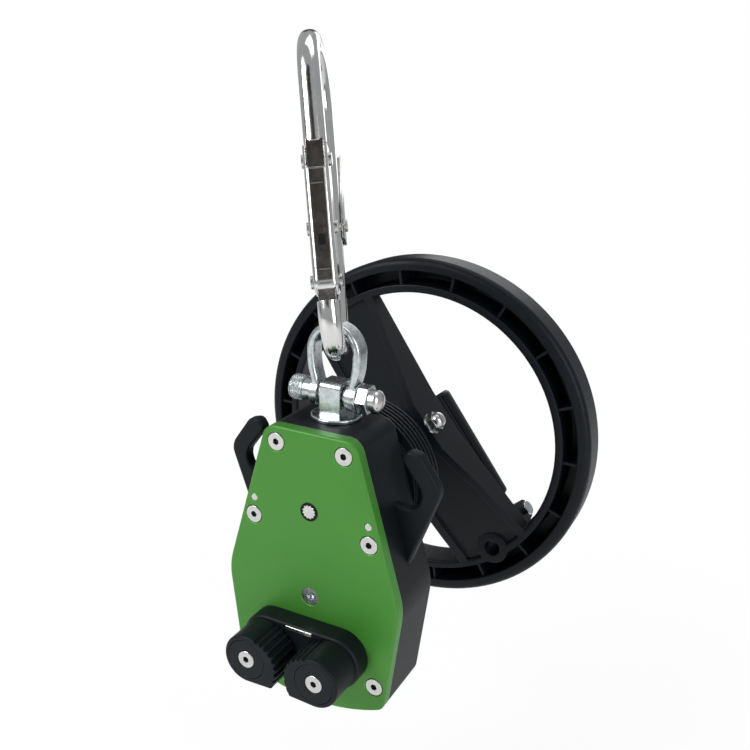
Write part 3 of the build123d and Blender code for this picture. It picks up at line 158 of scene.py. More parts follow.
def linear(code):
    """A linear colour from an sRGB hex code."""
    parts = [int(code.lstrip("#")[i : i + 2], 16) / 255 for i in (0, 2, 4)]
    return [c / 12.92 if c <= 0.04045 else ((c + 0.055) / 1.055) ** 2.4 for c in parts]


def add(tree, kind, values=(), links=(), **settings):
    """Adds one node: settings are its own, values fill its inputs and links feed them."""
    made = tree.nodes.new(kind)
    for key, value in settings.items():
        setattr(made, key, value)
    for key, value in dict(values).items():
        made.inputs[key].default_value = value
    for key, socket in dict(links).items():
        tree.links.new(socket, made.inputs[key])
    return made


# A noise texture's useful span, which each pattern stretches to its own lowest and highest value.
NOISE_SPAN = {"From Min": 0.3, "From Max": 0.7}
# Edges are paler where the eased and the true normal part, by the cosine of the angle between them: wear,
# and on the front plate a painted highlight.
WEAR_AND_HIGHLIGHT_SPAN = {"From Min": 0.80, "From Max": 0.995, "To Min": 0.55, "To Max": 0.0}
# How far edges are eased in the shading of a finish that isn't worn, in millimetres.
PLAIN_EASE = 0.25


def surface(name, colour, cloud, grain, rough, deep, worn=None, spots=False, **sockets):
    """One finish, with its sizes in millimetres. cloud is the size of its cloudy patches and the darkest
    share of the colour in them, grain the size of its tooth, rough its lowest and highest roughness, deep
    the height of the tooth, and worn the colour and reach of paler edges: wear, and on the front plate a
    painted highlight."""
    made = bpy.data.materials.new(name)
    made.use_nodes = True
    tree = made.node_tree
    shader = tree.nodes["Principled BSDF"]
    place = {"Vector": add(tree, "ShaderNodeTexCoord").outputs["Object"]}

    # Cloudy or spotted colour.
    patch, darkest = cloud
    scale = {"Scale": 1 / (patch * MM)}
    if spots:
        drift = add(tree, "ShaderNodeTexVoronoi", scale, place).outputs["Distance"]
    else:
        drift = add(tree, "ShaderNodeTexNoise", {**scale, "Detail": 3.0}, place).outputs["Fac"]
    span = {**NOISE_SPAN, "To Min": 0.0, "To Max": 1.0}
    share = add(tree, "ShaderNodeMapRange", span, {"Value": drift}).outputs["Result"]
    tones = {6: (*(c * darkest for c in colour), 1), 7: (*colour, 1)}
    tone = add(tree, "ShaderNodeMix", tones, {0: share}, data_type="RGBA").outputs[2]

    # Edges are eased in the shading, as on cast, moulded and tumbled pieces.
    reach = {"Radius": (worn[1] if worn else PLAIN_EASE) * MM}
    eased = add(tree, "ShaderNodeBevel", reach, samples=6).outputs["Normal"]
    # Paler edges: wear, and on the front plate a painted highlight.
    if worn:
        flat = add(tree, "ShaderNodeNewGeometry").outputs["Normal"]
        normals = {0: eased, 1: flat}
        meet = add(tree, "ShaderNodeVectorMath", links=normals, operation="DOT_PRODUCT")
        apart = {"Value": meet.outputs["Value"]}
        edge = add(tree, "ShaderNodeMapRange", WEAR_AND_HIGHLIGHT_SPAN, apart).outputs["Result"]
        wear_and_highlight_tone = {7: (*linear(worn[0]), 1)}
        tone = add(tree, "ShaderNodeMix", wear_and_highlight_tone, {0: edge, 6: tone}, data_type="RGBA").outputs[2]

    # The tooth varies the gloss and raises the face a little.
    fine = {"Scale": 1 / (grain * MM), "Detail": 3.0, "Roughness": 0.6}
    tooth = add(tree, "ShaderNodeTexNoise", fine, place).outputs["Fac"]
    span = {**NOISE_SPAN, "To Min": rough[0], "To Max": rough[1]}
    gloss = add(tree, "ShaderNodeMapRange", span, {"Value": tooth}).outputs["Result"]
    height = {"Strength": 0.5, "Distance": deep * MM}
    raised = add(tree, "ShaderNodeBump", height, {"Height": tooth, "Normal": eased})
    tree.links.new(tone, shader.inputs["Base Color"])
    tree.links.new(gloss, shader.inputs["Roughness"])
    tree.links.new(raised.outputs["Normal"], shader.inputs["Normal"])
    for key, value in sockets.items():
        shader.inputs[key.replace("_", " ")].default_value = value
    return made


# ---------------------------------------------------------------- finishes

METAL = {"Metallic": 1.0}
DULL = {"Specular_IOR_Level": 0.17}

# Each finish by the record's material slot, with its colour in WinchColours. Blasting and tool
# marks are really finer than a tenth of a millimetre and wouldn't show, so they are drawn coarser.
FINISHES = {
    # Bead-blasted and dyed oxide: even and satin, with paler rims that are a painted highlight along the
    # edges.
    "green_anodised": dict(
        name="aluminium_green_anodised", cloud=(45, 0.92), grain=0.5, rough=(0.40, 0.52), deep=0.02,
        worn=("#A4D880", 0.45), Metallic=0.3,
    ),
    # Black oxide over milled and blasted metal: satin, faintly cloudy, greyer along the edges.
    "black_anodised": dict(
        name="aluminium_black_anodised", cloud=(18, 0.75), grain=0.5, rough=(0.40, 0.55), deep=0.03,
        worn=("#3A3F43", 0.5), **DULL,
    ),
    # Glass-filled nylon from a spark-eroded mould: low gloss that shows flow clouds.
    "black_plastic": dict(
        name="nylon_black_moulded", cloud=(30, 0.75), grain=0.8, rough=(0.34, 0.46), deep=0.05,
        worn=("#2C3033", 0.6), **DULL,
    ),
    # Tumbled and buffed aluminium: mirror bright, with waves from the polishing wheel.
    "polished_alloy": dict(
        name="aluminium_polished", cloud=(9, 0.90), grain=3.5, rough=(0.10, 0.19), deep=0.10,
        **METAL,
    ),
    # Bright zinc: silvery with small crystals from the bath.
    "bright_zinc": dict(
        name="steel_zinc_plated", cloud=(2.6, 0.80), grain=2.0, rough=(0.20, 0.32), deep=0.02,
        spots=True, **METAL,
    ),
    # Headed and passivated stainless: bright with fine tool marks.
    "stainless": dict(
        name="steel_stainless", cloud=(3, 0.88), grain=0.35, rough=(0.20, 0.34), deep=0.012, **METAL
    ),
    # Oiled tool steel: grey with turning marks, and a little darker in random clouds.
    "steel": dict(
        name="steel_oiled", cloud=(4, 0.8), grain=0.6, rough=(0.28, 0.42), deep=0.02, **METAL
    ),
    # Sintered bronze: warm and matt, pitted by its open pores.
    "bronze": dict(
        name="bronze_sintered", cloud=(0.4, 0.6), grain=0.4, rough=(0.38, 0.55), deep=0.03, **METAL
    ),
    # Hard anodising: dark grey and even.
    "hard_alloy": dict(
        name="aluminium_hard_anodised", cloud=(12, 0.85), grain=0.5, rough=(0.40, 0.52), deep=0.02,
        Metallic=0.4,
    ),
    # Woven friction lining: matt, flecked darker.
    "lining": dict(
        name="friction_lining", cloud=(0.8, 0.5), grain=0.8, rough=(0.8, 0.9), deep=0.1, **DULL
    ),
    # Painted shade: nearly black and matt, put in the screw sockets, round the shaft's end and in the gate's
    # window, where shade falls.
    "grime": dict(
        name="grease_black", cloud=(2, 0.8), grain=0.6, rough=(0.5, 0.7), deep=0.02, **DULL
    ),
}


def tint(name, text, code):
    """A colour that the sidebar offers, from its sRGB hex code."""
    return FloatVectorProperty(
        name=name, description=text, subtype="COLOR", size=3, min=0, max=1, default=linear(code)
    )


def length(name, text, value, low, high):
    """A length that the sidebar offers, given in millimetres."""
    return FloatProperty(
        name=name, description=text, default=value * MM, min=low * MM, max=high * MM, unit="LENGTH"
    )


def count(name, text, value, low, high):
    """A whole number that the sidebar offers."""
    return IntProperty(name=name, description=text, default=value, min=low, max=high)


class WinchColours(bpy.types.PropertyGroup):
    """Colours of the winch's finishes, by material slot"""

    green_anodised: tint("Front plate", "Dyed oxide of the front plate", "#3D8029")
    black_anodised: tint("Housing", "Black oxide of the housing, horns, drum and cleat", "#0D1317")
    black_plastic: tint("Handwheel", "Moulded nylon of the handwheel and the grip", "#0B1016")
    polished_alloy: tint("Snap hook", "Buffed aluminium of the snap hook", "#D6D6D4")
    bright_zinc: tint("Shackle", "Zinc plate of the shackle and its nuts", "#C2C9CA")
    stainless: tint("Screws", "Stainless steel of the screws", "#C8C8C6")
    steel: tint("Shaft steel", "Oiled steel of the shaft and gears", "#8E9092")
    bronze: tint("Bushes", "Sintered bronze of the bushes", "#B98A52")
    hard_alloy: tint("Sheave", "Hard-anodised sheave and rope parts", "#6E7173")
    lining: tint("Brake lining", "Friction lining of the brake shoes", "#4A3B2C")
    # Colour of the painted shade in the screw sockets, round the shaft's end and in the gate's window.
    grime: tint("Grime", "Grease in sockets and etched marks", "#0A0B0C")


class WinchSizes(bpy.types.PropertyGroup):
    """Sizes of what is added to the construction"""

    edge_ease: length("Edge ease", "Rounding added along sharp edges of copies", 0.3, 0.05, 1.0)
    ease_steps: count("Ease steps", "Facets across a rounded edge", 3, 1, 6)
    knurl_deep: length("Knurl depth", "Height of the diamonds on the shackle bolt", 0.6, 0.1, 0.8)
    knurl_rows: count("Knurl rows", "Rows of diamonds along the bolt's head", 5, 3, 12)
    mark_wide: length("Mark width", "Width of the cross lines etched on the gate", 0.55, 0.2, 1.5)
    screw_gap: length("Screw gap", "Open ring round a countersunk head", 0.35, 0.05, 0.6)


# Materials made so far, by slot.
MADE = {}


def finish(slot):
    """The one material of a finish, made the first time that it is asked for."""
    if slot not in MADE:
        colour = list(getattr(bpy.context.scene.winch_colours, slot))
        MADE[slot] = surface(colour=colour, **FINISHES[slot])
    return MADE[slot]


# ---------------------------------------------------------------- making pieces

# Below these an area in square metres and a gap between two corners in metres count as nothing.
NO_AREA, SAME_POINT = 1e-12, 2e-6
# The same gap in a mesh that is drawn in millimetres.
SAME_DRAWN = 1e-4
# Facets round every turned piece, so that their rims meet.
ROUND_STEPS = 48
# Angles in degrees past which a copy's shading breaks, and past which its edge is rounded.
COPY_SHARP, EASE_SHARP = 30, 35

# Plain copies that are rounded along sharp edges, and how far, as a share of the edge ease.
EASED = {"wear_strip": 0.5, "crank_arm": 1.2, "lock_lever": 0.7, "shackle_collars": 1.2}


def shade(data, sharp):
    """Smooth shading that keeps large flats flat. Each corner follows the faces round it by their
    area, leaving out those that turn from its own face by more than sharp, in degrees."""
    data.shade_smooth()
    limit = math.cos(math.radians(sharp))
    faces = [(face.normal.copy(), face.area) for face in data.polygons]
    around = [[] for _ in data.vertices]
    for face in data.polygons:
        for v in face.vertices:
            around[v].append(face.index)
    corners = []
    for face in data.polygons:
        own = faces[face.index][0]
        for v in face.vertices:
            near = (faces[i] for i in around[v])
            total = sum((way * size for way, size in near if way.dot(own) > limit), Vector())
            corners.append(total.normalized() if total.length > NO_AREA else own)
    data.normals_split_custom_set(corners)


def settle(name, mesh, slot, body, nodes=(), sharp=32):
    """Makes a piece of the mesh and hands it to its body in place of some construction nodes. Where
    body is (one body, another body, start, end), the piece flexes between the two bodies."""
    bmesh.ops.recalc_face_normals(mesh, faces=mesh.faces)
    data = bpy.data.meshes.new(name)
    mesh.to_mesh(data)
    mesh.free()
    shade(data, sharp)
    made = bpy.data.objects.new(name, data)
    bpy.context.scene.collection.objects.link(made)
    data.materials.append(finish(slot))
    if isinstance(body, tuple):
        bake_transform(made, *body)
    else:
        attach(made, body)
    if nodes:
        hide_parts(*nodes)
    return made


def home(node):
    """The body that a construction node belongs to."""
    return body_of(frame["nodes"][node])[0]


def spun(mesh, outline):
    """Spins an outline of (radius, height) points round Z. Points on the axis close the ends."""
    verts = [mesh.verts.new((r, 0, z)) for r, z in outline]
    edges = [mesh.edges.new(pair) for pair in zip(verts, verts[1:])]
    bmesh.ops.spin(
        mesh, geom=verts + edges, cent=(0, 0, 0), axis=(0, 0, 1), angle=math.tau,
        steps=ROUND_STEPS, use_merge=True,
    )
    bmesh.ops.remove_doubles(mesh, verts=mesh.verts, dist=SAME_DRAWN)


def new_verts(grown):
    """The vertices among what an extrusion made."""
    return [item for item in grown["geom"] if isinstance(item, bmesh.types.BMVert)]


def far_edges(grown, verts):
    """The edges among what an extrusion made that lie along its new border."""
    edges = [item for item in grown["geom"] if isinstance(item, bmesh.types.BMEdge)]
    return [edge for edge in edges if all(v in verts for v in edge.verts)]


def lay(mesh, origin, way, turned=0.0):
    """Moves a mesh drawn in millimetres about Z to an origin, with its Z along way."""
    place = Matrix.Translation(origin) @ Vector(way).to_track_quat("Z", "Y").to_matrix().to_4x4()
    place = place @ Matrix.Rotation(math.radians(turned), 4, "Z") @ Matrix.Scale(MM, 4)
    bmesh.ops.transform(mesh, matrix=place, verts=mesh.verts)


def put(target, source):
    """Adds one mesh to another."""
    data = bpy.data.meshes.new("part")
    source.to_mesh(data)
    source.free()
    target.from_mesh(data)
    bpy.data.meshes.remove(data)


def soft_copy(node, body=None):
    """A merged and smoothly shaded copy of a construction node, rounded where EASED says so."""
    source = frame["nodes"][node]
    mesh = bmesh.new()
    mesh.from_mesh(source.data)
    mesh.transform(source.matrix_world)
    bmesh.ops.remove_doubles(mesh, verts=mesh.verts, dist=SAME_POINT)
    made = settle(node + "_soft", mesh, SLOTS[node], body or home(node), [node], COPY_SHARP)
    if node in EASED:
        sizes = bpy.context.scene.winch_sizes
        eased = made.modifiers.new("eased_edges", "BEVEL")
        eased.width = sizes.edge_ease * EASED[node]
        eased.segments = sizes.ease_steps
        eased.limit_method = "ANGLE"
        eased.angle_limit = math.radians(EASE_SHARP)
        eased.harden_normals = True
        eased.use_clamp_overlap = False


# ---------------------------------------------------------------- operators


class WINCH_OT_nodes(bpy.types.Operator):
    """Gives every construction node the finish of its material slot"""

    bl_idname = "winch.nodes"
    bl_label = "Finish the construction nodes"

    def execute(self, context):
        for node, slot in SLOTS.items():
            frame["nodes"][node].data.materials.clear()
            frame["nodes"][node].data.materials.append(finish(slot))
        return {"FINISHED"}


class WINCH_OT_shell(bpy.types.Operator):
    """Makes the front plate, the housing, the finned drum and the horns"""

    bl_idname = "winch.shell"
    bl_label = "Housing"

    def execute(self, context):
        for node in ("front_plate", "housing", "finned_drum", "horn_left", "horn_right"):
            soft_copy(node)
        return {"FINISHED"}


class WINCH_OT_cleat(bpy.types.Operator):
    """Makes the cam cleat with its wear strip"""

    bl_idname = "winch.cleat"
    bl_label = "Cam cleat"

    def execute(self, context):
        for node in ("cleat_base", "cam_left", "cam_right", "cam_bushes", "wear_strip"):
            soft_copy(node)
        return {"FINISHED"}


class WINCH_OT_wheel(bpy.types.Operator):
    """Makes the handwheel, the grip and the crank arm inside it"""

    bl_idname = "winch.wheel"
    bl_label = "Handwheel"

    def execute(self, context):
        for node in ("handwheel", "crank_grip", "crank_arm"):
            soft_copy(node)
        return {"FINISHED"}


class WINCH_OT_hanger(bpy.types.Operator):
    """Makes the snap hook, its gate and lever, the shackle's bow and the swivel eye"""

    bl_idname = "winch.hanger"
    bl_label = "Snap hook and shackle"

    def execute(self, context):
        for node in ("hook_body", "gate", "lock_lever", "shackle_bow", "swivel_eye"):
            soft_copy(node)
        return {"FINISHED"}


# Where the two springs flex, in millimetres: the gate spring between two heights along the hook,
# and the lever spring between two distances out of the spine, at a height above the lever's pin.
GATE_SPRING_ENDS = (28.0, 43.0)
LEVER_PIN_UP, LEVER_SPRING_UP, LEVER_SPRING_ENDS = 58.0, 22.0, (-6.2, -9.2)


class WINCH_OT_springs(bpy.types.Operator):
    """Makes the gate spring and the lever spring, which flex between the bar and what they push"""

    bl_idname = "winch.springs"
    bl_label = "Springs of the snap hook"

    def execute(self, context):
        # The gate spring stands on the hinge's tongue and pushes the rivet that swings with it.
        low, high = (on_bar(height).translation for height in GATE_SPRING_ENDS)
        soft_copy("gate_spring", ("hook", "gate", low, high))
        # The lever spring stands on the spine and pushes the lever's fold outwards.
        pin = on_bar(LEVER_PIN_UP, SPINE_SIDE)
        ends = (Vector((out, LEVER_SPRING_UP, 0)) * MM for out in LEVER_SPRING_ENDS)
        low, high = (pin @ end for end in ends)
        soft_copy("lever_spring", ("hook", "lever", low, high))
        return {"FINISHED"}


# The gate's face and the thickness of what is marked on it, in millimetres.
GATE_FACE, MARK_THICK = 7.2, 0.06
# Heights of the etched lines along the hook, and their length across the gate.
MARK_HEIGHTS, MARK_LONG = (70.8, 64.3, 25.9, 19.8), 5.0
# The window, which is painted shade on the gate's face: its height along the hook, how tall it is and how
# wide.
WINDOW_SHADE = (39.0, 5.0, 3.0)


class WINCH_OT_marks(bpy.types.Operator):
    """Etches the cross lines on the gate and puts painted shade in its window"""

    bl_idname = "winch.marks"
    bl_label = "Gate marks"

    def execute(self, context):
        wide = context.scene.winch_sizes.mark_wide / MM
        self.row("gate_marks", "steel", [(height, wide, MARK_LONG) for height in MARK_HEIGHTS])
        # The window is a thin dark patch of painted shade.
        self.row("gate_window", "grime", [WINDOW_SHADE])
        return {"FINISHED"}

    def row(self, name, slot, bars):
        """Thin bars on the gate's face, each as (height along the hook, own height, own width)."""
        mesh = bmesh.new()
        for height, tall, across in bars:
            bar = bmesh.ops.create_cube(mesh, size=MM)["verts"]
            bmesh.ops.scale(mesh, vec=(MARK_THICK, tall, across), verts=bar)
            place = on_bar(height) @ Matrix.Translation((GATE_FACE * MM, 0, 0))
            bmesh.ops.transform(mesh, matrix=place, verts=bar)
        settle(name, mesh, slot, home("gate"))


def hexagon_r(across):
    """The corner radius of a hexagon from its width across flats."""
    return across / math.sqrt(3)


def socket(mesh, radius, height, across, deep):
    """A flat round top at a height with a hexagon socket sunk in its middle."""
    rim = bmesh.ops.create_circle(mesh, segments=ROUND_STEPS, radius=radius)["verts"]
    hexagon = bmesh.ops.create_circle(mesh, segments=6, radius=hexagon_r(across))["verts"]
    bmesh.ops.translate(mesh, vec=(0, 0, height), verts=rim + hexagon)
    loop = list({edge for v in hexagon for edge in v.link_edges})
    outer = list({edge for v in rim for edge in v.link_edges})
    bmesh.ops.bridge_loops(mesh, edges=loop + outer)
    sunk = bmesh.ops.extrude_edge_only(mesh, edges=loop)
    low = new_verts(sunk)
    bmesh.ops.translate(mesh, vec=(0, 0, -deep), verts=low)
    bmesh.ops.contextual_create(mesh, geom=far_edges(sunk, low))


# Countersunk screws, in millimetres: the seat's radius, the head's chamfer and straight edge, the shank, the
# socket's width across flats and depth, and the depth of the painted shade in the socket and its play round
# it.
SEAT_R, HEAD_CHAMFER, HEAD_EDGE, SHANK_R = 4.8, 0.2, 0.5, 2.5
SOCKET_ACROSS, SOCKET_DEEP, SOCKET_SHADE_DEEP, SOCKET_SHADE_PLAY = 3.0, 2.4, 1.2, 0.02
PLATE_SCREW_LONG = 18.0
# Each pair of plate screws: how far from the middle, and how high over the drive shaft.
PLATE_PAIRS = ((18.3, 32.0), (32.1, -9.2), (36.2, -85.0))
CAM_OUT, CAM_UP = 19, -71.3
# Each socket is turned further than the one before, because screws stop where they are tight.
SCREW_TURN = 17
# Corners of a spun rim and of the rim round a socket that are nearer than this are joined.
RIM_GAP = 1e-3


class WINCH_OT_screws(bpy.types.Operator):
    """Makes the countersunk screws of the front plate and of the cams, with painted shade in their hexagon
    sockets
    """

    bl_idname = "winch.screws"
    bl_label = "Countersunk screws"

    def execute(self, context):
        plate = [at(side * out, 0, up) for out, up in PLATE_PAIRS for side in (-1, 1)]
        self.row("plate_screws", plate, PLATE_SCREW_LONG)
        low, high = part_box("cam_screws")
        cams = [at(side * CAM_OUT, 0, CAM_UP) for side in (-1, 1)]
        for place in cams:
            place.y = low.y
        self.row("cam_screws", cams, (high.y - low.y) / MM)
        return {"FINISHED"}

    def row(self, node, places, long):
        """Screws of one length whose heads face the front at some places."""
        head = SEAT_R - bpy.context.scene.winch_sizes.screw_gap / MM
        top = head - HEAD_CHAMFER
        outline = [(top, 0), (head, -HEAD_CHAMFER), (head, -HEAD_EDGE)]
        outline += [(SHANK_R, -head + SHANK_R - HEAD_EDGE), (SHANK_R, -long), (0, -long)]
        steel, socket_shade = bmesh.new(), bmesh.new()
        for i, place in enumerate(places):
            one = bmesh.new()
            spun(one, outline)
            socket(one, top, 0, SOCKET_ACROSS, SOCKET_DEEP)
            bmesh.ops.remove_doubles(one, verts=one.verts, dist=RIM_GAP)
            lay(one, place, FRONT, SCREW_TURN * i)
            put(steel, one)
            # A dark hexagon of painted shade down in the socket.
            one = bmesh.new()
            inside = hexagon_r(SOCKET_ACROSS) - SOCKET_SHADE_PLAY
            bmesh.ops.create_circle(one, cap_ends=True, segments=6, radius=inside)
            bmesh.ops.translate(one, vec=(0, 0, -SOCKET_SHADE_DEEP), verts=one.verts)
            lay(one, place, FRONT, SCREW_TURN * i)
            put(socket_shade, one)
        settle(node + "_turned", steel, "stainless", home(node), [node])
        settle(node + "_sockets", socket_shade, "grime", home(node))


# The shaft's end, in millimetres: a star's points, its hollows' share of them and its height, and the ring
# of painted shade round it in the gap, from below the plate's face to just above it.
STAR_R, STAR_HOLLOW, STAR_HIGH, STAR_POINTS = 3.7, 0.8, 0.12, 12
SHADE_RING_R, SHADE_RING_LOW, SHADE_RING_HIGH = 4.7, -0.5, 0.05


class WINCH_OT_shaft_end(bpy.types.Operator):
    """Makes the twelve-pointed end of the drive shaft in a ring of painted shade"""

    bl_idname = "winch.shaft_end"
    bl_label = "Shaft end"

    def execute(self, context):
        end = at(0, 0, 0)
        end.y = min(end.y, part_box("drive_shaft")[0].y)
        body = home("drive_shaft")

        star = bmesh.new()
        made = bmesh.ops.create_circle(star, cap_ends=True, segments=2 * STAR_POINTS, radius=STAR_R)
        bmesh.ops.scale(star, vec=(STAR_HOLLOW, STAR_HOLLOW, 1), verts=made["verts"][::2])
        raised = new_verts(bmesh.ops.extrude_face_region(star, geom=star.faces[:]))
        bmesh.ops.translate(star, vec=(0, 0, STAR_HIGH), verts=raised)
        lay(star, end, FRONT)
        settle("shaft_star", star, "stainless", body)

        # A dark disc of painted shade in the gap round the shaft's end.
        ring = bmesh.new()
        spun(ring, [(SHADE_RING_R, SHADE_RING_LOW), (SHADE_RING_R, SHADE_RING_HIGH), (0, SHADE_RING_HIGH)])
        lay(ring, end, FRONT)
        settle("shaft_ring", ring, "grime", body)
        return {"FINISHED"}


# The shackle bolt, in millimetres from the outer face of its head: where the knurl starts and its
# length, the length of the head and of the bolt, the radii of the head, the shank and the flat top
# round the socket, and the socket. Its depth is below zero as the bolt is drawn from its head on.
KNURL_LOW, KNURL_LONG, HEAD_LONG, BOLT_LONG = 1.0, 5.6, 7.6, 46.0
BOLT_HEAD_R, BOLT_R, BOLT_TOP_R = 6.5, 4.0, 4.2
BOLT_ACROSS, BOLT_SOCKET_DEEP = 5.6, -3.2
KNURL_AROUND = 24
# How far the plain rims at both ends of the knurl stand out over the diamonds' feet.
RIM_PROUD = 0.25
# The hexagon nut's corner radius, thickness and chamfer, and the dome nut's radius, seat and crown.
NUT_R, NUT_THICK, NUT_CHAMFER = 7.35, 5.6, 0.7
DOME_R, DOME_EDGE, DOME_LOW, DOME_RISE = 5.4, 5.2, 3.0, 3.4


def left_end(node):
    """The middle of a construction node's left end."""
    low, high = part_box(node)
    return Vector((low.x, (low.y + high.y) / 2, (low.z + high.z) / 2))


class WINCH_OT_bolt(bpy.types.Operator):
    """Makes the shackle bolt with its knurled head, its collars, its hexagon nut and dome nut"""

    bl_idname = "winch.bolt"
    bl_label = "Shackle bolt and nuts"

    def execute(self, context):
        sizes = context.scene.winch_sizes
        self.bolt(sizes.knurl_deep / MM, sizes.knurl_rows)
        self.hexagon_nut()
        self.dome_nut()
        soft_copy("shackle_collars")
        return {"FINISHED"}

    def bolt(self, deep, rows):
        """The bolt: a plain rim at both ends of the head, and diamonds between them."""
        head = BOLT_HEAD_R - deep
        mesh = bmesh.new()
        ring = bmesh.ops.create_circle(mesh, segments=KNURL_AROUND, radius=head)["verts"]
        edges = list({edge for v in ring for edge in v.link_edges})
        for _ in range(rows):
            grown = bmesh.ops.extrude_edge_only(mesh, edges=edges)
            ring = new_verts(grown)
            bmesh.ops.translate(mesh, vec=(0, 0, KNURL_LONG / rows), verts=ring)
            edges = far_edges(grown, ring)
        grid = [edge for edge in mesh.edges if not edge.is_boundary]
        bmesh.ops.poke(mesh, faces=mesh.faces[:])
        bmesh.ops.dissolve_edges(mesh, edges=grid)
        diamonds = [face for face in mesh.faces if len(face.verts) == 4]
        bmesh.ops.poke(mesh, faces=diamonds, offset=deep)
        bmesh.ops.translate(mesh, vec=(0, 0, KNURL_LOW), verts=mesh.verts)
        outer = [(head, KNURL_LOW), (head + RIM_PROUD, 0.95), (head, 0.5), (head - 0.7, 0)]
        spun(mesh, [*outer, (BOLT_TOP_R, 0)])
        inner = [(head, KNURL_LOW + KNURL_LONG), (head + RIM_PROUD, 6.65), (head + 0.2, 7.3)]
        shank = [(BOLT_R, HEAD_LONG), (BOLT_R, BOLT_LONG), (0, BOLT_LONG)]
        spun(mesh, [*inner, (head - 0.2, HEAD_LONG), *shank])
        socket(mesh, BOLT_TOP_R, 0, BOLT_ACROSS, BOLT_SOCKET_DEEP)
        lay(mesh, left_end("shackle_bolt"), RIGHT)
        body = home("shackle_bolt")
        settle("shackle_bolt_knurled", mesh, "bright_zinc", body, ["shackle_bolt"], sharp=20)

    def hexagon_nut(self):
        """The hexagon nut, with chamfered corners at both faces."""
        mesh = bmesh.new()
        bmesh.ops.create_cone(
            mesh, cap_ends=True, segments=6, radius1=NUT_R, radius2=NUT_R, depth=NUT_THICK
        )
        rims = [e for e in mesh.edges if abs(e.verts[0].co.z - e.verts[1].co.z) < SAME_DRAWN]
        bmesh.ops.bevel(
            mesh, geom=rims, affect="EDGES", offset=NUT_CHAMFER, segments=3, profile=0.5,
            material=-1,
        )
        low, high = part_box("lock_nut")
        lay(mesh, (low + high) / 2, RIGHT, 30)
        settle("lock_nut_forged", mesh, "bright_zinc", home("lock_nut"), ["lock_nut"], sharp=25)

    def dome_nut(self):
        """The dome nut, whose crown is a quarter of an ellipse."""
        turns = [math.radians(angle) for angle in range(0, 90, 9)]
        crown = [(DOME_R * math.cos(a), DOME_LOW + DOME_RISE * math.sin(a)) for a in turns]
        seat = [(BOLT_R, 0), (DOME_EDGE, 0), (DOME_R, 0.3)]
        mesh = bmesh.new()
        spun(mesh, [*seat, *crown, (0, DOME_LOW + DOME_RISE)])
        lay(mesh, left_end("dome_nut"), RIGHT)
        settle("dome_nut_turned", mesh, "stainless", home("dome_nut"), ["dome_nut"], sharp=40)


# ---------------------------------------------------------------- studio

# The room's soft light, how far the floor lies under the part and how wide it is, in metres.
ROOM_LIGHT, FLOOR_DROP, FLOOR_WIDE = 0.5, 0.12, 40
# From where under the part to where, in metres, the floor goes from shaded paper to plain white.
FLOOR_FADE = {"From Min": 0.05, "From Max": 0.5, "To Min": 0.82, "To Max": 1.0}

# Dark cards that only polished metal mirrors: name, way from the middle, width, height, distance.
FLAGS = (
    ("flag_high", (0.16, -0.735, 0.658), 0.34, 0.60, 1.0),
    ("flag_right", (0.97, -0.10, 0.10), 0.22, 1.30, 1.1),
    ("flag_left", (-0.86, -0.50, 0.05), 0.16, 1.30, 1.1),
    ("flag_back", (-0.55, 0.83, 0.10), 0.40, 1.30, 1.1),
)

# Lamps that point at the middle: name, place, width and height, watts.
LAMPS = (
    ("key_lamp", (-0.75, -1.15, 0.75), (0.9, 0.9), 20),
    ("side_lamp", (1.25, -0.55, 0.25), (0.7, 1.1), 8),
    ("top_lamp", (0.1, 0.35, 1.25), (1.2, 0.8), 5),
    ("back_lamp", (-0.3, 1.3, 0.2), (1.0, 0.8), 4),
)

# The camera's place in millimetres from the plate's middle, the ways to its right and its back, and
# its lens and sensor in millimetres.
CAMERA_PLACE = (195.87, -310.93, 186.37)
CAMERA_RIGHT, CAMERA_BACK = (0.884, 0.467, 0.018), (0.44, -0.844, 0.306)
LENS, SENSOR_WIDE = 41.2, 36.0


def card(name, centre, facing, width, height):
    """A flat card that faces a point."""
    mesh = bmesh.new()
    bmesh.ops.create_grid(mesh, x_segments=1, y_segments=1, size=0.5)
    bmesh.ops.scale(mesh, vec=(width, height, 1), verts=mesh.verts)
    turn = (Vector(facing) - Vector(centre)).to_track_quat("Z", "Y").to_matrix().to_4x4()
    bmesh.ops.transform(mesh, matrix=Matrix.Translation(centre) @ turn, verts=mesh.verts)
    data = bpy.data.meshes.new(name)
    mesh.to_mesh(data)
    mesh.free()
    made = bpy.data.objects.new(name, data)
    bpy.context.scene.collection.objects.link(made)
    return made


def lamp(name, place, aim, size, watts):
    """A soft rectangular lamp that points at a place."""
    data = bpy.data.lights.new(name, "AREA")
    data.shape = "RECTANGLE"
    data.size, data.size_y = size
    data.energy = watts
    made = bpy.data.objects.new(name, data)
    made.location = place
    made.rotation_mode = "QUATERNION"
    made.rotation_quaternion = (Vector(aim) - Vector(place)).to_track_quat("-Z", "Y")
    bpy.context.scene.collection.objects.link(made)


def matt(name, code, rough):
    """A plain matt material of one colour."""
    made = bpy.data.materials.new(name)
    made.use_nodes = True
    shader = made.node_tree.nodes["Principled BSDF"]
    shader.inputs["Base Color"].default_value = (*linear(code), 1)
    shader.inputs["Roughness"].default_value = rough
    return made


def seen_white(tree, lit, glow, output, near=None):
    """Shows glow to the camera, and lit to reflections and to everything else."""
    seen = add(tree, "ShaderNodeLightPath").outputs["Is Camera Ray"]
    if near is not None:
        factors = {0: seen, 1: near}
        seen = add(tree, "ShaderNodeMath", links=factors, operation="MULTIPLY").outputs[0]
    mixed = add(tree, "ShaderNodeMixShader", links={0: seen, 1: lit, 2: glow}).outputs[0]
    tree.links.new(mixed, output)


